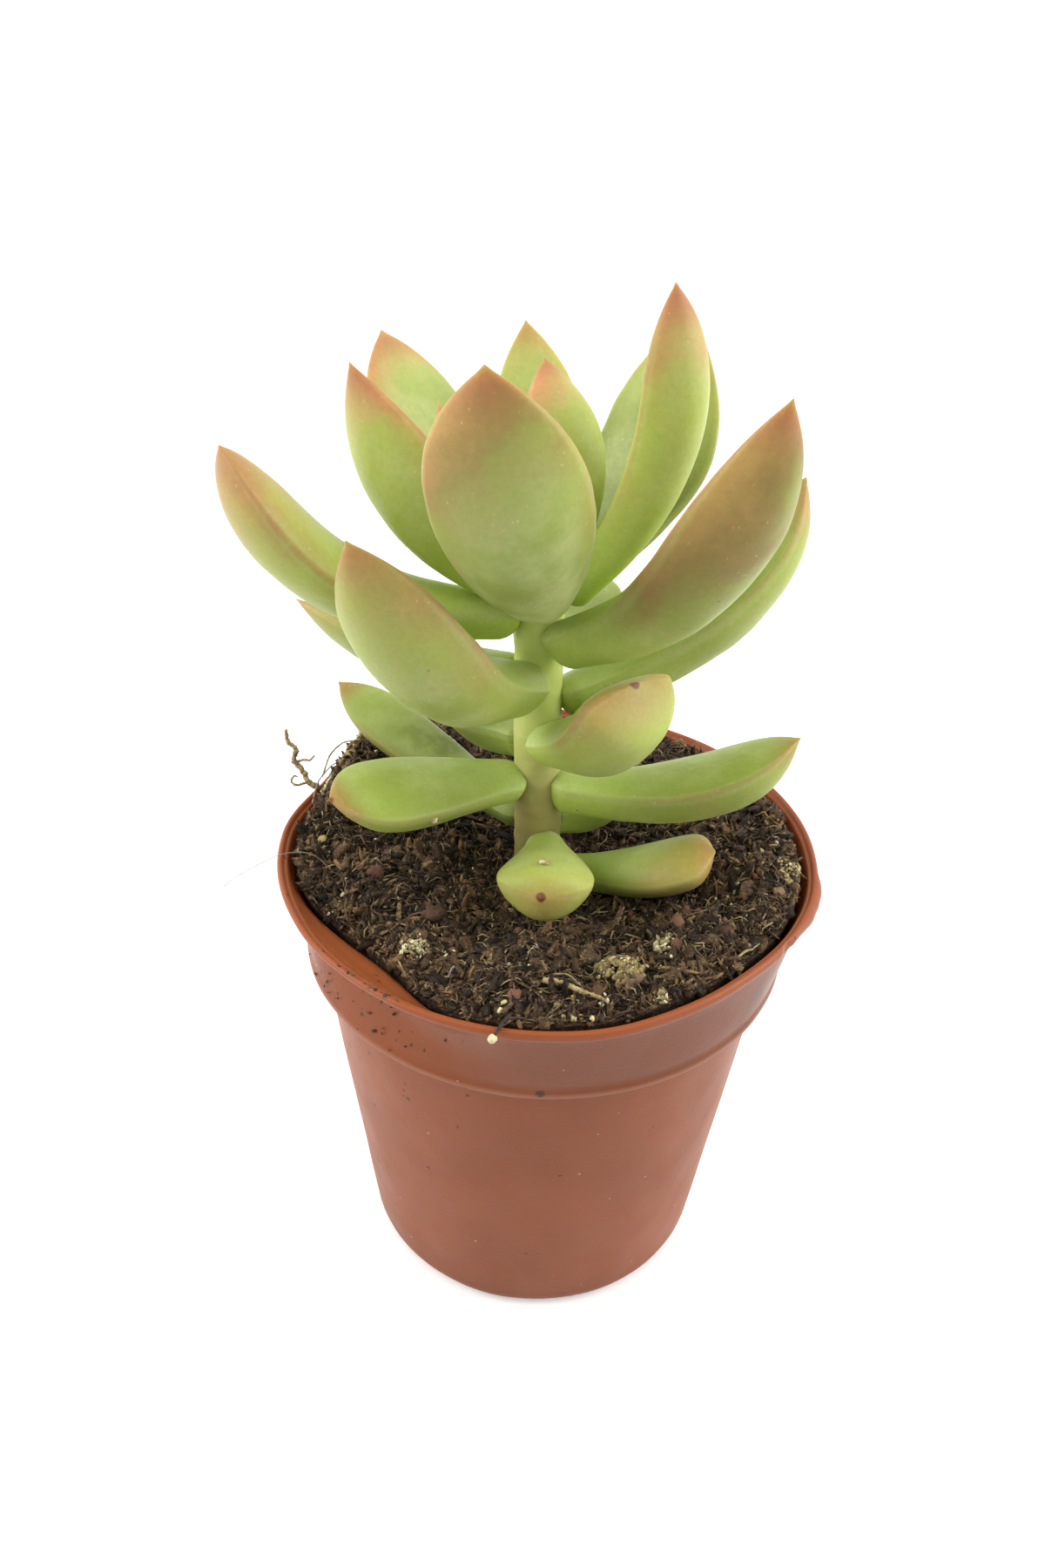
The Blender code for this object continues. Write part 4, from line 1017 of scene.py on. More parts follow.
def pot_section():
    """The pot's section as (radius, height, lip, worn), from the middle of the floor round and back under it.

    Straight runs are cut into short steps. The lip is a bead with a groove inside it, the collar ends in a
    small bead over its ledge, and the foot is a quarter circle. lip is the share of clear thin plastic, and
    the last value marks the painted highlight along the collar's lower edge, where its bead catches the light.
    """
    ledge = POT_HEIGHT - COLLAR_HEIGHT
    floor_top = BASE_RECESS + FLOOR
    inner = [
        (SECTION_AXIS, floor_top),
        (CENTRE_PAD_RADIUS, floor_top),
        (body_radius(floor_top) - WALL - FOOT_ROUNDING / 2, floor_top),
        (body_radius(floor_top + FOOT_ROUNDING) - WALL, floor_top + FOOT_ROUNDING),
        (body_radius(ledge) - WALL, ledge - WALL),
        (COLLAR_FOOT_RADIUS - WALL, ledge + WALL),
        (COLLAR_TOP_RADIUS - WALL, POT_HEIGHT - RIM_LIP_HEIGHT - WALL),
    ]
    outer = [
        (COLLAR_TOP_RADIUS - 0.00016, POT_HEIGHT - RIM_LIP_HEIGHT - WALL),
        *[(COLLAR_FOOT_RADIUS + out, ledge + up) for out, up in COLLAR_BEAD],
        (body_radius(ledge) + 0.0001, ledge - 0.0003),
        (body_radius(ledge), ledge - 0.0009),
    ]
    bend = np.radians(np.linspace(0, 90, 9))
    foot = body_radius(FOOT_ROUNDING) - FOOT_ROUNDING
    outer += [(foot + FOOT_ROUNDING * math.cos(a), FOOT_ROUNDING * (1 - math.sin(a))) for a in bend]
    outer += [
        (FOOT_RING_INNER_RADIUS, 0.0),
        (FOOT_RING_INNER_RADIUS - BASE_RECESS, BASE_RECESS),
        (CENTRE_PAD_RADIUS + BASE_RECESS, BASE_RECESS),
        (CENTRE_PAD_RADIUS, 0.0),
        (SECTION_AXIS, 0.0),
    ]
    corners = np.array(inner + [(r / 1000, z / 1000) for r, z in LIP_SECTION] + outer)
    run = np.concatenate([[0], np.cumsum(np.linalg.norm(np.diff(corners, axis=0), axis=1))])
    pairs = zip(run[:-1], run[1:])
    cuts = [np.linspace(a, b, max(2, int((b - a) / SECTION_STEP) + 2))[:-1] for a, b in pairs]
    place = np.concatenate(cuts + [run[-1:]])
    radius, height = np.interp(place, run, corners[:, 0]), np.interp(place, run, corners[:, 1])
    inside = place < run[len(inner)]
    lip = np.where(inside, 0.85, rise(height, POT_HEIGHT - 0.0016, POT_HEIGHT - 0.0011))
    on_collar = radius > COLLAR_FOOT_RADIUS - 0.0002
    # The painted highlight's mask: a band just over the ledge, on the collar's outer side.
    worn = np.where(inside, 0.0, bump(height - ledge - 0.0003, 0.0005) * on_collar)
    return radius, height, lip, worn


def flash_shape(azimuth, reach):
    """How far the torn flash on the right of the lip stands out, with a bite broken out of it."""
    torn = 0.6 * reach * rise(azimuth, -4, -10) * rise(azimuth, -27, -19)
    return torn - 0.0004 * bump(azimuth + 31, 2.5)


def pot_colour(colours):
    """Terracotta-coloured plastic: clear orange lip, cloudy body, a painted highlight on the collar's lower
    edge, painted shade on the collar, soil specks and a stain.
    """

    def colour(wiring):
        high, across = wiring.axis(wiring.place(), 2), wiring.axis(wiring.place(), 0)
        cloud = wiring.ramp(wiring.noise(0.012, 3.0), 0.3, 0.7)
        body = wiring.mix(cloud, colours.pot_body * 0.92, colours.pot_body * 1.08)
        streak = wiring.noise(0.004, 4.0, 0.6)
        body = wiring.mix(wiring.ramp(streak, 0.55, 0.75, 0.0, 0.20), body, colours.pot_body * 0.72)
        # Painted shade: the pot above its ledge, mostly the collar, is darkened, more towards the right.
        shade_to_right = wiring.ramp(across, -0.012, 0.020, 0.35, 1.0)
        collar = wiring.times(wiring.ramp(high, 0.0385, 0.0400), shade_to_right)
        body = wiring.mix(wiring.times(collar, 0.8), body, colours.pot_body * 0.62)
        tone = wiring.mix(wiring.value("lip"), body, colours.pot_lip)
        # Painted highlight: a pale line along the collar's lower edge, where its bead catches the light.
        tone = wiring.mix(wiring.times(wiring.value("worn"), 0.35), tone, colours.pot_edge)
        to_left = wiring.ramp(across, -0.004, -0.015, 0.12, 1.0)
        near_rim = wiring.times(wiring.ramp(high, 0.010, 0.046, 0.2, 1.0), to_left)
        for size, part, salt in ((0.0015, 0.9, 0.0), (0.0034, 0.7, 0.7)):
            kept = wiring.times(near_rim, part)
            dirt = use_group(wiring, "specks", Size=size, Share=kept, Radius=0.24, Salt=salt)["Mask"]
            tone = wiring.mix(wiring.times(dirt, 0.85), tone, (0.060, 0.030, 0.018))
        stain = wiring.near(STAIN_PLACE, 0.0004, 0.0030, 0.0016)
        tone = wiring.mix(wiring.times(stain, 0.6), tone, (0.10, 0.045, 0.024))
        pale = use_group(wiring, "specks", Size=0.0019, Share=0.5, Radius=0.09, Salt=0.3)["Mask"]
        return wiring.mix(wiring.times(pale, 0.6), tone, (0.75, 0.68, 0.55))

    return colour


def pot_roughness(wiring):
    """Satin, with duller clouds and a glossier collar."""
    cloud = wiring.times(wiring.noise(0.0045, 4.0), 0.20)
    return wiring.plus(wiring.ramp(wiring.axis(wiring.place(), 2), 0.0385, 0.0400, 0.30, 0.24), cloud)


def pot_height(wiring):
    """A faint moulded grain over slow waves."""
    return wiring.plus(wiring.noise(0.0004, 2.0), wiring.times(wiring.noise(0.006, 2.0), 3.0))


def make_pot(sizes, colours):
    """The pot's shell, which is its section turned about Z and bent, and the dirt on it.

    The turned section is moved by the wall's presses and waves, by ripples and by the flash of the lip.
    """
    radius, height, lip, worn = pot_section()
    azimuth = -np.linspace(0, 360, POT_SIDES + 1)[:-1]
    r, z, a = np.broadcast_arrays(radius[:, None], height[:, None], ((azimuth + 180) % 360 - 180)[None])
    part = np.minimum(1.0, r / BODY_FOOT_RADIUS) ** PRESS_FADE_POWER
    unit = np.stack([np.cos(np.radians(a)), np.sin(np.radians(a)), 0 * a], -1)
    ripple = sizes.wall_ripple * smooth_noise(unit * 0.02 + np.stack([0 * a, 0 * a, z], -1) * 0.6, 0.004, 3)
    outer_edge = bump(r - RIM_RADIUS, 0.00045) * rise(z, 0.0487, 0.0492)
    fray = 1 + 0.25 * smooth_noise(unit * RIM_RADIUS, 0.0009, 8)
    reach = flash_shape(a, sizes.flash_reach) * outer_edge * fray
    out = r + part * (wall_shift(a, z) + ripple) + reach
    rings = np.stack([out * unit[..., 0], out * unit[..., 1], z - 0.45 * np.abs(reach)], -1)
    light = through(0.30, (1.0, 0.3, 0.12), 0.0014)
    look = (pot_colour(colours), pot_roughness, pot_height, 0.00003)
    plastic = material("pot_plastic", *look, **light, IOR=1.33)
    values = {"lip": lip[None, :, None], "worn": worn[None, :, None]}
    pot = mesh_piece("pot_shell", rings[None], plastic, ("pot",), values)
    make_pot_dirt()
    for turn in np.radians(np.arange(DRAIN_HOLES) * 360 / DRAIN_HOLES):
        drill_base(pot, turn)


def make_pot_dirt():
    """Small lumps of soil at random places on the lip and on the collar below it, at the front left."""
    rng = np.random.default_rng(31)
    on_lip = rng.normal(*LIP_DIRT_AZIMUTH, LIP_DIRT)
    azimuth = np.concatenate([on_lip, rng.normal(*COLLAR_DIRT_AZIMUTH, COLLAR_DIRT)])
    on_collar = rng.uniform(*COLLAR_DIRT_HEIGHTS, COLLAR_DIRT)
    height = np.concatenate([np.full(LIP_DIRT, LIP_DIRT_HEIGHT), on_collar])
    collar = COLLAR_TOP_RADIUS - (COLLAR_TOP_HEIGHT - height) * COLLAR_TAPER
    radius = np.where(height > COLLAR_TOP_HEIGHT, LIP_DIRT_RADIUS, collar) + wall_shift(azimuth, height)
    centres = np.stack([*polar(radius, azimuth), height], -1)
    size = 0.00005 + 0.00018 * rng.uniform(0, 1, len(height)) ** 2
    size[:LIP_DIRT] *= 1.3
    dirt = material("pot_dirt", toned((0.055, 0.028, 0.016), (0.17, 0.085, 0.045)), 0.85)
    bits = lumps(centres, size, any_turns(len(size), rng), rng, 4, 6, 0.35, (1.3, 1.0, 0.6))
    bit_piece("pot_dirt", bits, dirt, rng)


def drill_base(pot, turn):
    """Cut one drain hole through the base with a cylinder, and apply the cut."""
    place = (DRAIN_RING_RADIUS * math.cos(turn), DRAIN_RING_RADIUS * math.sin(turn), 0.0)
    bpy.ops.mesh.primitive_cylinder_add(
        vertices=DRAIN_HOLE_SIDES, radius=DRAIN_HOLE_RADIUS, depth=DRAIN_DRILL_DEPTH, location=place
    )
    drill = bpy.context.active_object
    hole = pot.modifiers.new("drain_hole", "BOOLEAN")
    hole.operation = "DIFFERENCE"
    hole.solver = "MANIFOLD"
    hole.object = drill
    bpy.context.view_layer.objects.active = pot
    bpy.ops.object.modifier_apply(modifier=hole.name)
    bpy.data.objects.remove(drill, do_unlink=True)


# The soil


def make_soil_bed(sizes, colours):
    """The soil: its surface on a grid of circles, out to the wall, then down the wall and in under it."""
    azimuth = np.linspace(0, 360, SOIL_SIDES + 1)[:-1]
    part = np.linspace(0.004, 1.0, SOIL_RINGS)[:, None]
    cos, sin = polar(1.0, azimuth)

    def circle(radius, height):
        return np.stack([radius * cos, radius * sin, height + 0 * cos], -1)[None]

    edge = local_edge(azimuth)
    plain = turned_edge(soil_level(edge * cos, edge * sin))
    plain = np.minimum(plain, edge + 0.004)
    reach = part * plain + part**PRESS_FADE_POWER * (edge - plain)
    x, y = reach * cos, reach * sin
    rings = [np.stack([x, y, soil_height(x, y, sizes.soil_relief)], -1)]
    last = rings[0][-1, :, 2] - 0.0002
    rings.append(circle(np.maximum(edge, soil_edge(azimuth, last)), last))
    for height in (0.044, POT_HEIGHT - COLLAR_HEIGHT + WALL):
        rings.append(circle(soil_edge(azimuth, height), height))
    rings += [circle(radius, height) for radius, height in SOIL_FOOT]
    peat = peat_material("peat", colours, 0.0003)
    mesh_piece("soil_bed", np.concatenate(rings)[None], peat, ("soil",), {"tone": np.float64(0.35)})


def scatter(count, rng, margin=0.0005):
    """Random places on the soil, evenly by area, out to a margin from the wall."""
    azimuth = rng.uniform(0, 360, count)
    return polar(np.sqrt(rng.uniform(0.0, 1.0, count)) * (local_edge(azimuth) - margin), azimuth)


def heaped(count, rng, azimuth, radius, spread, margin=0.0006):
    """Random places round one place on the soil, given by its azimuth and radius, held inside the wall."""
    cx, cy = radius * math.cos(math.radians(azimuth)), radius * math.sin(math.radians(azimuth))
    return held_in(*rng.normal((cx, cy), spread, (count, 2)).T, margin)


def make_flakes(sizes, colours):
    """Flat splinters and flakes of peat that lie on the soil in random tilts, dark, brown and golden.

    More of them follow the wall, and more still lie on the heap's open side, drawn down towards the rim.
    """
    rng = np.random.default_rng(5)
    dark = peat_material("peat_flakes", colours, 0.00012, 1.0, 0.12)
    brown = peat_material("peat_flakes_brown", colours, 0.00012, 1.9, 0.20)
    gold = material("peat_flakes_gold", toned(colours.peat_gold * 0.28, colours.peat_gold * 1.15), 0.6)
    rows = (
        ("flakes_dark", dark, sizes.flakes, 0.00018, 0.00080, 0.7, (1.8, 0.80, 0.42)),
        ("flakes_brown", brown, int(sizes.flakes * 0.8), 0.00012, 0.00065, 0.8, (2.2, 0.60, 0.34)),
        ("flakes_gold", gold, int(sizes.flakes * 0.4), 0.00008, 0.00030, 0.8, (1.9, 0.75, 0.40)),
        ("crumbs", dark, int(sizes.flakes * 0.10), 0.0004, 0.0009, 0.5, (1.25, 1.0, 0.7)),
    )
    for name, finish, count, low, high, tilt, shape in rows:
        x, y = scatter(count, rng, 0.0001)
        reach = low + (high - low) * rng.uniform(0, 1, count) ** 3
        x, y = held_in(x, y, 0.7 * reach)
        grid, lift = ((4, 6), 0.0) if name == "crumbs" else ((3, 5), 0.15)
        turns = lying_turns(count, rng, tilt)
        rings = lumps(on_soil(x, y, lift * reach), reach, turns, rng, *grid, 0.34, shape)
        bit_piece(name, rings, finish, rng)
    for name, count, middle, spread, drop in EDGE_FLAKES:
        azimuth = middle + rng.uniform(-spread, spread, count)
        reach = rng.uniform(0.00016, 0.00052, count)
        edge = local_edge(azimuth)
        surface = soil_height(*polar(0.999 * edge, azimuth))
        edge = np.maximum(edge, soil_edge(azimuth, surface - 0.0002))
        radius = edge - 0.5 * reach - (1 - drop) * rng.uniform(0, 0.0018, count)
        centres = on_soil(*polar(radius, azimuth), 0.1 * reach)
        above = np.maximum(0.0, centres[:, 2] - 0.0492)
        centres[:, 2] -= drop * rng.uniform(0, 1, count) * above
        turns = lying_turns(count, rng, 0.9)
        bit_piece(name, lumps(centres, reach, turns, rng, 3, 5, 0.34, (1.8, 0.8, 0.5)), brown, rng)


def thread_paths(x, y, length_of, rng, points=5, arch=0.22, wander=0.5, lift=0.00008):
    """Bent threads that follow the soil: a heading that wanders at random, and a low arch over the length."""
    count = len(x)
    heading = rng.uniform(0, 2 * math.pi, (count, 1)) + np.cumsum(rng.normal(0, wander, (count, points)), 1)
    step = length_of[:, None] / (points - 1)
    px = x[:, None] + np.cumsum(np.cos(heading) * step, 1)
    py = y[:, None] + np.cumsum(np.sin(heading) * step, 1)
    px, py = held_in(px, py, 0.0003)
    part = np.linspace(0, 1, points)
    hump = 4 * part * (1 - part) * arch * length_of[:, None] * rng.uniform(0, 1, (count, 1))
    return on_soil(px, py, lift) + np.stack([0 * px, 0 * px, hump], -1)


def make_fibres(sizes, colours):
    """Peat fibres and moss bits: brown, golden and pale threads, thin and bent, thicker in their middle."""
    rng = np.random.default_rng(8)
    gold = material("fibre_gold", toned(colours.peat_gold * 0.45, colours.peat_gold * 1.1), 0.6)
    brown = material("fibre_brown", toned(colours.peat_brown * 0.35, colours.peat_brown * 1.3), 0.7)
    pale = material("fibre_pale", toned((0.38, 0.34, 0.20), (0.75, 0.72, 0.58)), 0.6)
    rows = (
        ("fibres_brown", brown, sizes.fibres, 0.0026, 0.00008),
        ("fibres_gold", gold, int(0.9 * sizes.fibres), 0.0021, 0.00007),
        ("fibres_pale", pale, int(0.08 * sizes.fibres), 0.0016, 0.00006),
    )
    for name, finish, count, long, thick in rows:
        x, y = scatter(count, rng, 0.0002)
        hx, hy = heaped(count // 10, rng, SOIL_HEAP_AZIMUTH + 6, 0.0240, 0.0035)
        x, y = np.concatenate([x, hx]), np.concatenate([y, hy])
        paths = thread_paths(x, y, long * rng.uniform(0.3, 1.3, len(x)), rng)
        taper = 1 - 0.5 * np.abs(np.linspace(-1, 1, paths.shape[1])) ** 2
        radii = thick * rng.uniform(0.6, 1.5, (len(x), 1)) * taper
        bit_piece(name, tubes(paths, radii, 3), finish, rng)


def loose(
    name, finish, places, reach, rng, grid=(4, 6), rough=0.3, shape=(1.0, 1.0, 1.0), lift=None, tilt=None
):
    """One piece of lumps that lie on the soil at given places in metres, held inside the wall."""
    places, reach = np.atleast_2d(places), np.broadcast_to(reach, len(places))
    x, y = held_in(places[:, 0], places[:, 1], 0.9 * reach)
    turns = any_turns(len(x), rng) if tilt is None else lying_turns(len(x), rng, tilt)
    centres = on_soil(x, y, 0.35 * reach if lift is None else lift)
    bit_piece(name, lumps(centres, reach, turns, rng, *grid, rough, shape), finish, rng)


def around_heaps(heaps, rng):
    """Random places round each heap of (x, y, count, spread) in millimetres, given back in metres."""
    return np.concatenate([rng.normal((x, y), spread, (count, 2)) / 1000 for x, y, count, spread in heaps])


def make_grains(sizes, colours):
    """Reddish stones, pale crumbs, yellow granules, tan flakes and the two clumps on the soil."""
    rng = np.random.default_rng(13)
    coarse, fine = (grainy(0.0004), 0.00015), (grainy(0.0003), 0.0001)
    red = material("stone_red", toned(colours.stone * 0.6, colours.stone * 1.25), 0.75, *coarse)
    pink = material("stone_pink", toned((0.17, 0.10, 0.06), (0.42, 0.28, 0.19), 0.0004), 0.7, *fine)
    white = material("crumb_white", toned((0.34, 0.28, 0.13), (0.84, 0.79, 0.52), 0.0004), 0.8)
    yellow = material("granule_yellow", toned((0.45, 0.36, 0.12), (0.78, 0.70, 0.36), 0.0004), 0.5)
    tan = material("flake_tan", toned((0.10, 0.065, 0.028), (0.42, 0.31, 0.14), 0.0005), 0.8, *fine)
    moss = material("lichen", toned(colours.lichen * 0.40, colours.lichen * 1.15, 0.0006), 0.85, *fine)
    stones = np.array(STONES) / 1000
    size = stones[:, 2]
    loose("stones_red", red, stones, size, rng, (7, 11), 0.24, (1.1, 1.0, 0.8), 0.10 * size, 0.6)
    grit = np.stack(scatter(140, rng), -1)
    loose("grit_red", red, grit, rng.uniform(0.00020, 0.00045, 140), rng, (5, 7), 0.2)
    place = (0.0080, -0.0200)
    loose("stone_by_lichen", pink, place, 0.00100, rng, (10, 16), 0.10, (1.2, 1.0, 0.8), 0.0004, 0.3)
    places = around_heaps([(x, y, count, spread) for x, y, _, count, spread in CRUMB_HEAPS], rng)
    reach = [rng.uniform(0.3, 1.0, count) * size / 1000 for _, _, size, count, _ in CRUMB_HEAPS]
    reach = np.concatenate(reach)
    lift = rng.uniform(0.0001, 0.0007, len(places))
    loose("crumbs_white", white, places, reach, rng, (4, 6), 0.4, (1.3, 1.0, 0.7), lift)
    bits = np.stack(scatter(260, rng), -1)
    loose("grit_white", white, bits, rng.uniform(0.00008, 0.00020, 260), rng, (3, 5), 0.3)
    spots = np.array(GRANULES) / 1000
    size = rng.uniform(0.00022, 0.00030, len(spots))
    loose("granules_yellow", yellow, spots, size, rng, (8, 12), 0.12, lift=0.0004)
    places = around_heaps(TAN_HEAPS, rng)
    reach = rng.uniform(0.00012, 0.00042, len(places))
    lift = rng.uniform(0.2, 1.2, len(places)) * reach
    loose("flakes_tan", tan, places, reach, rng, (4, 7), 0.3, (1.5, 0.9, 0.4), lift, 0.5)
    for name, finish, x, y, wide, tall, count in (
        ("lichen_clump", moss, 0.0071, -0.0190, 0.0022, 0.0019, 400),
        ("moss_by_rim", tan, 0.0246, -0.0026, 0.0014, 0.0012, 170),
    ):
        away = wide * np.sqrt(rng.uniform(0, 1, count))
        turn = rng.uniform(0, 2 * math.pi, count)
        places = np.stack([x + away * np.cos(turn), y + 0.85 * away * np.sin(turn)], -1)
        dome = tall * np.sqrt(1 - (away / (1.04 * wide)) ** 2)
        reach = rng.uniform(0.05, 0.15, count) * wide
        loose(name, finish, places, reach, rng, (4, 6), 0.35, (1, 1, 0.8), dome)
        third = count // 3
        reach = rng.uniform(0.00007, 0.00016, third)
        lift = dome[:third] + 0.07 * wide
        loose(name + "_grains", white, places[:third], reach, rng, (3, 5), 0.3, lift=lift)


def make_strands(sizes, colours):
    """The few long things, each a tube along a smooth curve through its route.

    They are straws, a twig that leans out at the back left, a dark stalk and a thin hair.
    """
    rng = np.random.default_rng(21)
    straw = material("straw", toned((0.24, 0.17, 0.07), (0.60, 0.48, 0.24)), 0.6)
    twig = material("twig", toned((0.32, 0.22, 0.11), (0.60, 0.47, 0.27)), 0.7)
    dark = material("stalk_dark", toned((0.02, 0.012, 0.008), (0.06, 0.035, 0.02)), 0.7)
    pale = material("hair_pale", toned((0.22, 0.20, 0.16), (0.45, 0.42, 0.36)), 0.5)
    thick = sizes.strand_thickness
    looks = {
        "straw_front": (straw, 1.7 * thick),
        "straw_front_thin": (straw, 0.5 * thick),
        "straw_right": (straw, 0.8 * thick),
        "straw_left": (straw, 0.6 * thick),
        "straw_white": (pale, 0.5 * thick),
        "straw_heap": (straw, 0.6 * thick),
        "straw_heap_thin": (pale, 0.5 * thick),
        "straw_back": (straw, 0.7 * thick),
        "twig_back_left": (twig, 1.9 * thick),
        "twig_side_bit": (twig, 0.9 * thick),
        "twig_curl": (twig, 0.8 * thick),
        "stalk_front": (dark, 1.1 * thick),
        "stalk_front_branch": (dark, 0.8 * thick),
        "hair": (pale, HAIR_RADIUS),
    }
    routes = {name: on_soil(*(np.array(route) / 1000).T) for name, route in LYING_ROUTES.items()}
    routes.update({name: np.array(route) / 1000 for name, route in STANDING_ROUTES.items()})
    for name, route in routes.items():
        finish, radius = looks[name]
        path = smooth_curve(route, 8 * len(route))
        path = path[None] + rng.normal(0, 0.15, (1, *path.shape)) * radius
        taper = 1 - 0.45 * np.linspace(0, 1, path.shape[1])[None] ** 2
        radii = radius * taper * rng.uniform(0.8, 1.15, path.shape[:2])
        mesh_piece(name, tubes(path, radii, 7), finish, (), {"tone": np.float64(0.5)})
    cream = material("granule_cream", toned((0.50, 0.42, 0.18), (0.82, 0.76, 0.48), 0.0003), 0.5)
    end = np.array([(-4.0, -28.25, 49.9), (-3.8, -28.05, 49.75)]) / 1000
    rings = lumps(end, np.array([0.00032, 0.00022]), any_turns(2, rng), rng, 10, 16, 0.12)
    mesh_piece("granule_at_stalk", rings, cream, (), {"tone": np.full((2, 1, 1), 0.6)})


# The plant


def stem_colour(colours):
    """Pale green at the top, turning pinkish brown lower down and darker where it enters the soil."""

    def colour(wiring):
        height = wiring.plus(wiring.axis(wiring.place(), 2), wiring.sway(0.002, 0.006))
        # Painted glow: the top of the stem is lightened as if lit through.
        tone = wiring.mix(wiring.ramp(height, 0.054, 0.070), colours.stem_low, colours.stem_top)
        tone = wiring.mix(wiring.ramp(height, 0.055, 0.048), tone, colours.stem_low * 0.6)
        specks = use_group(wiring, "specks", Size=0.0012, Share=0.12, Radius=0.14)["Mask"]
        return wiring.mix(wiring.times(specks, 0.5), tone, (0.16, 0.09, 0.04))

    return colour


def make_stem(sizes, colours):
    """The stem with its scars and buds: rings round a leaning line, swollen softly where each leaf grows."""
    height = np.linspace(STEM_HOLE_BOTTOM, STEM_TOP, STEM_RINGS)
    angle = 2 * math.pi * np.arange(STEM_SIDES) / STEM_SIDES
    above = np.clip((height - STEM_TAPER_HEIGHT) / (STEM_TOP - STEM_TAPER_HEIGHT), 0, 1)
    swell = sum(bump(height - leaf.height, 0.0016) for leaf in LEAVES)
    radius = STEM_RADIUS * (1 - STEM_TAPER_SHARE * above) * (1 + 0.02 * np.minimum(swell, 2))
    radius = radius * np.sqrt(1 - np.clip((height - STEM_TOP + 0.0012) / 0.00125, 0, 1) ** 2)
    unit = np.stack([np.cos(angle), np.sin(angle), 0 * angle], -1)
    centre = stem_centre(height)[:, None]
    points = centre + radius[:, None, None] * unit
    scar = np.zeros((len(height), len(angle)))
    for azimuth, level in STEM_SCARS:
        turn = np.radians(angle_between(np.degrees(angle), azimuth)) * STEM_RADIUS
        scar += bump(np.hypot(turn[None], (height[:, None] - level) * 2), 0.0018)
    dents = 0.03 * smooth_noise(points, 0.0016, 6) + 0.02 * smooth_noise(points, 0.0005, 9) + 0.05 * scar
    points = centre + (radius[:, None] * (1 + dents))[..., None] * unit
    light = through(0.2, (0.9, 1.0, 0.35), 0.0020)
    skin = material("stem_skin", stem_colour(colours), 0.5, grainy(0.0005), 0.00006, **light)
    mesh_piece("stem_body", points[None], skin, ("stem",))
    young = leaf_material("bud_skin", colours, colours.leaf_ripe, colours.leaf_ripe)
    for leaf in BUDS:
        points, values = leaf_surface(leaf, BUD_RINGS, BUD_SIDES, sizes.leaf_dents, BUD_ROOT_OFFSET)
        mesh_piece(leaf.name, points[None], young, (), values)


def make_leaves(sizes, colours):
    """Every leaf, in the old or the young skin, and the crumbs of soil that lie on two of them."""
    old = leaf_material("lower_leaf_skin", colours, colours.leaf_green * 0.90, colours.leaf_ripe * 0.9, 0.6)
    young = leaf_material("upper_leaf_skin", colours, colours.leaf_green, colours.leaf_ripe)
    surfaces = {}
    for leaf in LEAVES:
        low = leaf.name.startswith(("leaf_foot", "leaf_low"))
        points, values = leaf_surface(leaf, sizes.leaf_rings, sizes.leaf_sides, sizes.leaf_dents)
        mesh_piece(leaf.name + "_skin", points[None], old if low else young, (leaf.name,), values)
        surfaces[leaf.name] = points
    rng = np.random.default_rng(41)
    crumb = material("crumb_on_leaf", toned((0.45, 0.33, 0.16), (0.82, 0.74, 0.48), 0.0004), 0.7)
    for name, along, side, count in LEAF_CRUMBS:
        points = surfaces[name]
        middle = points[int(along * len(points)), int(side * points.shape[1])]
        places = middle + rng.normal(0, 0.00024, (count, 3))
        bits = lumps(places, rng.uniform(0.00012, 0.00030, count), any_turns(count, rng), rng, 4, 6, 0.35)
        bit_piece("crumb_on_" + name, bits, crumb, rng)


# The stage


def make_stage(colours):
    """A wide pale floor, a bright sky that is dark low behind the camera, and soft lamps left and right."""
    bpy.ops.mesh.primitive_plane_add(size=8.0)
    floor = bpy.context.active_object
    floor.name = "floor"
    finish = material("floor_white", colours.floor, 0.8, Emission_Color=(1.0, 1.0, 1.0, 1.0))
    wiring = Wiring(finish.node_tree)
    shader = finish.node_tree.nodes["Principled BSDF"]
    path = wiring.node("ShaderNodeLightPath").outputs
    seen = wiring.math("MAXIMUM", path["Is Camera Ray"], path["Is Glossy Ray"])
    wiring.put(shader.inputs["Base Color"], wiring.mix(seen, colours.floor * 0.55, colours.floor))
    behind = wiring.ramp(wiring.axis(wiring.place(), 1), -0.05, 0.10)
    glow = wiring.math("MAXIMUM", path["Is Camera Ray"], wiring.times(path["Is Glossy Ray"], behind, 1.6))
    wiring.put(shader.inputs["Emission Strength"], wiring.times(glow, 0.25))
    floor.data.materials.append(finish)
    world = bpy.data.worlds.new("studio")
    bpy.context.scene.world = world
    world.use_nodes = True
    wiring = Wiring(world.node_tree)
    direction = wiring.node("ShaderNodeTexCoord").outputs["Generated"]
    low = wiring.ramp(wiring.axis(direction, 2), 0.8, 0.35)
    front = wiring.times(wiring.ramp(wiring.axis(direction, 1), -0.15, -0.8), low)
    sides = wiring.plus(1.0, wiring.times(wiring.math("ABSOLUTE", wiring.axis(direction, 0)), 1.3))
    strength = wiring.times(wiring.ramp(front, 0.0, 1.0, 0.84, 0.27), sides)
    sky = world.node_tree.nodes["Background"]
    sky.inputs["Color"].default_value = (1.0, 0.99, 0.97, 1.0)
    wiring.put(sky.inputs["Strength"], strength)
    for name, place in LAMP_PLACES.items():
        lamp = bpy.data.lights.new(name, "AREA")
        lamp.shape = "DISK"
        lamp.size = LAMP_SIZE
        lamp.energy = LAMP_POWER
        obj = bpy.data.objects.new(name, lamp)
        obj.location = place
        obj.rotation_euler = (Vector(place) - Vector(LAMP_AIM)).to_track_quat("Z", "Y").to_euler()
        bpy.context.scene.collection.objects.link(obj)


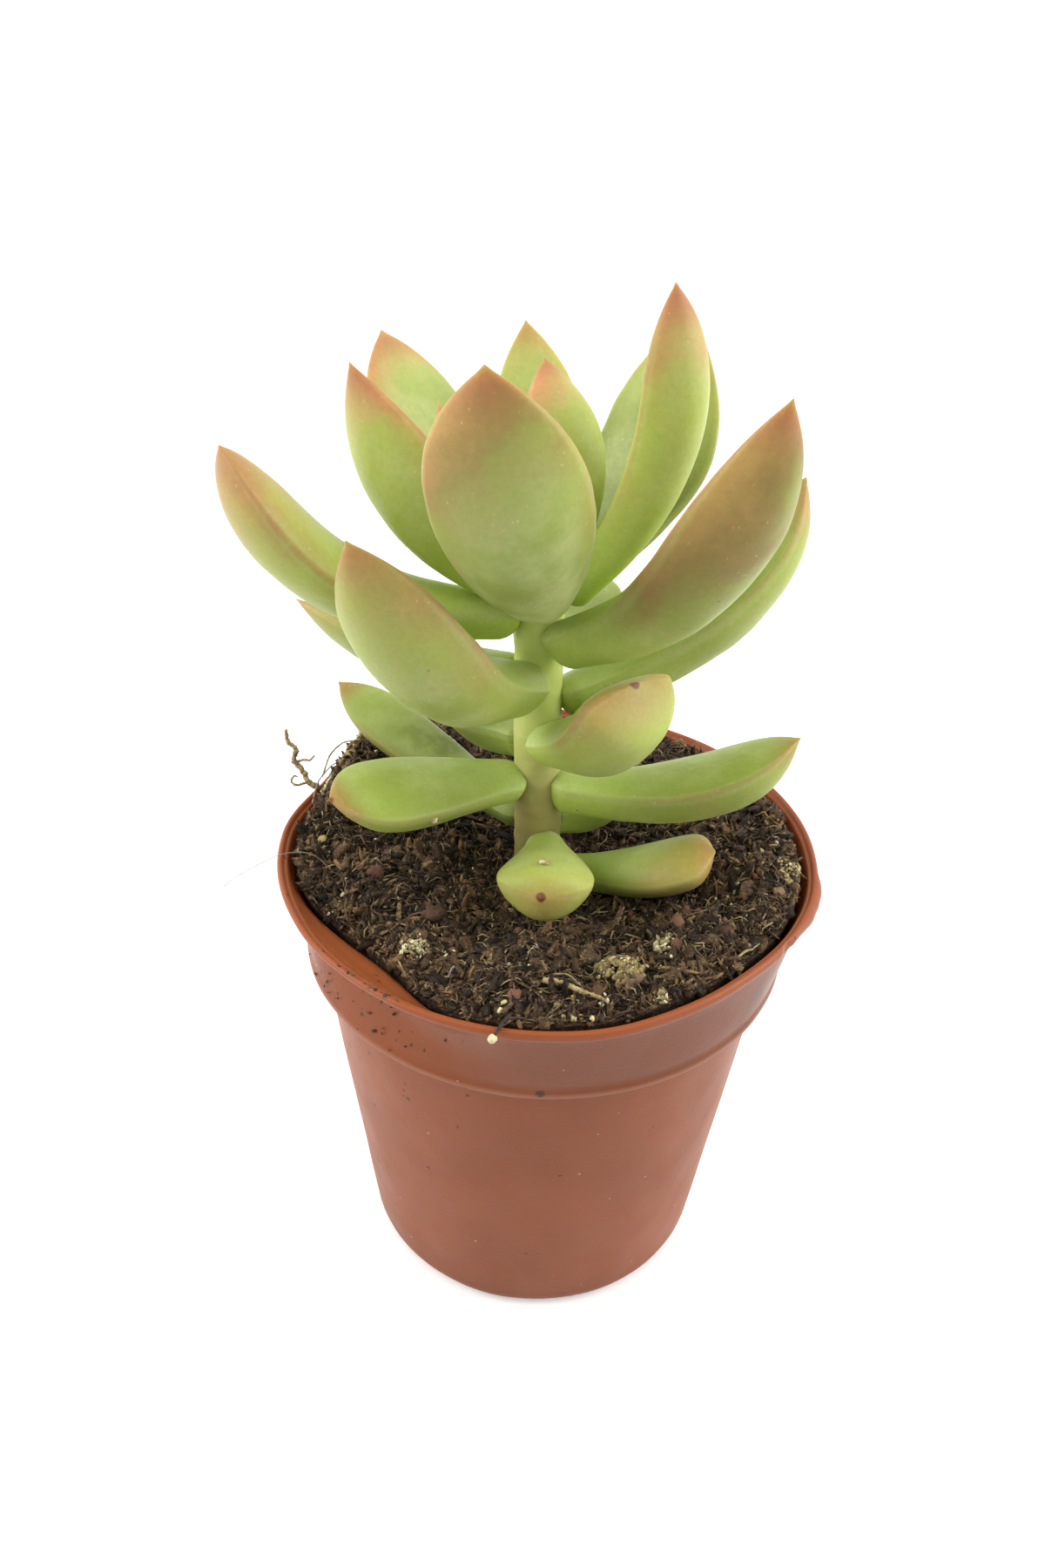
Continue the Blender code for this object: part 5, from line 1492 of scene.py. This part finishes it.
def make_camera():
    """A camera that looks along +Y, turned by its yaw, down by its pitch and then rolled."""
    cos, sin = math.cos(CAMERA_PITCH), math.sin(CAMERA_PITCH)
    forward = np.array([math.sin(CAMERA_YAW) * cos, math.cos(CAMERA_YAW) * cos, -sin])
    level = np.array([math.cos(CAMERA_YAW), -math.sin(CAMERA_YAW), 0.0])
    above = np.cross(level, forward)
    cos, sin = math.cos(CAMERA_ROLL), math.sin(CAMERA_ROLL)
    right, up = cos * level + sin * above, cos * above - sin * level
    lens = bpy.data.cameras.new("camera")
    lens.lens = CAMERA_LENS
    lens.sensor_width = CAMERA_SENSOR
    lens.clip_start = 0.01
    lens.clip_end = 20.0
    camera = bpy.data.objects.new("camera", lens)
    turned = Matrix(np.stack([right, up, -forward], 1).tolist()).to_4x4()
    camera.matrix_world = Matrix.Translation(CAMERA_PLACE) @ turned
    bpy.context.scene.collection.objects.link(camera)
    bpy.context.scene.camera = camera


# The add-on


class SEDUM_OT_stage(bpy.types.Operator):
    """Add the floor, the studio light and the camera"""

    bl_idname = "sedum.stage"
    bl_label = "Stage"

    def execute(self, context):
        make_stage(context.scene.sedum_colours)
        make_camera()
        return {"FINISHED"}


class SEDUM_OT_pot(bpy.types.Operator):
    """Add the pot's shell and the dirt on it"""

    bl_idname = "sedum.pot"
    bl_label = "Pot"

    def execute(self, context):
        make_pot(context.scene.sedum_sizes, context.scene.sedum_colours)
        return {"FINISHED"}


class SEDUM_OT_soil(bpy.types.Operator):
    """Add the soil's body and surface"""

    bl_idname = "sedum.soil"
    bl_label = "Soil"

    def execute(self, context):
        make_soil_bed(context.scene.sedum_sizes, context.scene.sedum_colours)
        return {"FINISHED"}


class SEDUM_OT_flakes(bpy.types.Operator):
    """Add the flakes and clods of peat"""

    bl_idname = "sedum.flakes"
    bl_label = "Peat Flakes"

    def execute(self, context):
        make_flakes(context.scene.sedum_sizes, context.scene.sedum_colours)
        return {"FINISHED"}


class SEDUM_OT_fibres(bpy.types.Operator):
    """Add the thin fibres of the peat"""

    bl_idname = "sedum.fibres"
    bl_label = "Peat Fibres"

    def execute(self, context):
        make_fibres(context.scene.sedum_sizes, context.scene.sedum_colours)
        return {"FINISHED"}


class SEDUM_OT_grains(bpy.types.Operator):
    """Add the stones, crumbs, granules and lichen"""

    bl_idname = "sedum.grains"
    bl_label = "Stones and Crumbs"

    def execute(self, context):
        make_grains(context.scene.sedum_sizes, context.scene.sedum_colours)
        return {"FINISHED"}


class SEDUM_OT_strands(bpy.types.Operator):
    """Add the straws, the twig, the stalk and the hair"""

    bl_idname = "sedum.strands"
    bl_label = "Straws and Twig"

    def execute(self, context):
        make_strands(context.scene.sedum_sizes, context.scene.sedum_colours)
        return {"FINISHED"}


class SEDUM_OT_stem(bpy.types.Operator):
    """Add the stem and its buds"""

    bl_idname = "sedum.stem"
    bl_label = "Stem"

    def execute(self, context):
        make_stem(context.scene.sedum_sizes, context.scene.sedum_colours)
        return {"FINISHED"}


class SEDUM_OT_leaves(bpy.types.Operator):
    """Add every leaf and the crumbs on two of them"""

    bl_idname = "sedum.leaves"
    bl_label = "Leaves"

    def execute(self, context):
        make_leaves(context.scene.sedum_sizes, context.scene.sedum_colours)
        return {"FINISHED"}


OPERATORS = (
    SEDUM_OT_stage,
    SEDUM_OT_pot,
    SEDUM_OT_soil,
    SEDUM_OT_flakes,
    SEDUM_OT_fibres,
    SEDUM_OT_grains,
    SEDUM_OT_strands,
    SEDUM_OT_stem,
    SEDUM_OT_leaves,
)


class SEDUM_PT_panel(bpy.types.Panel):
    """Sizes, colours and pieces of the potted sedum"""

    bl_idname = "SEDUM_PT_panel"
    bl_label = "Potted Sedum"
    bl_space_type = "VIEW_3D"
    bl_region_type = "UI"
    bl_category = "Sedum"

    def draw(self, context):
        for settings in (context.scene.sedum_sizes, context.scene.sedum_colours):
            box = self.layout.box()
            for name in settings.__annotations__:
                box.prop(settings, name)
        for operator in OPERATORS:
            self.layout.operator(operator.bl_idname)


CLASSES = (SedumSizes, SedumColours, *OPERATORS, SEDUM_PT_panel)


def register():
    """Register the classes and hang the settings on the scene."""
    for kind in CLASSES:
        bpy.utils.register_class(kind)
    bpy.types.Scene.sedum_sizes = bpy.props.PointerProperty(type=SedumSizes)
    bpy.types.Scene.sedum_colours = bpy.props.PointerProperty(type=SedumColours)


def unregister():
    """Undo register."""
    del bpy.types.Scene.sedum_colours
    del bpy.types.Scene.sedum_sizes
    for kind in reversed(CLASSES):
        bpy.utils.unregister_class(kind)


def main():
    """Register the add-on and build everything."""
    register()
    bpy.context.scene.view_settings.view_transform = "Standard"
    for operator in OPERATORS:
        getattr(bpy.ops.sedum, operator.bl_idname.partition(".")[2])()


if __name__ == "__main__":
    main()
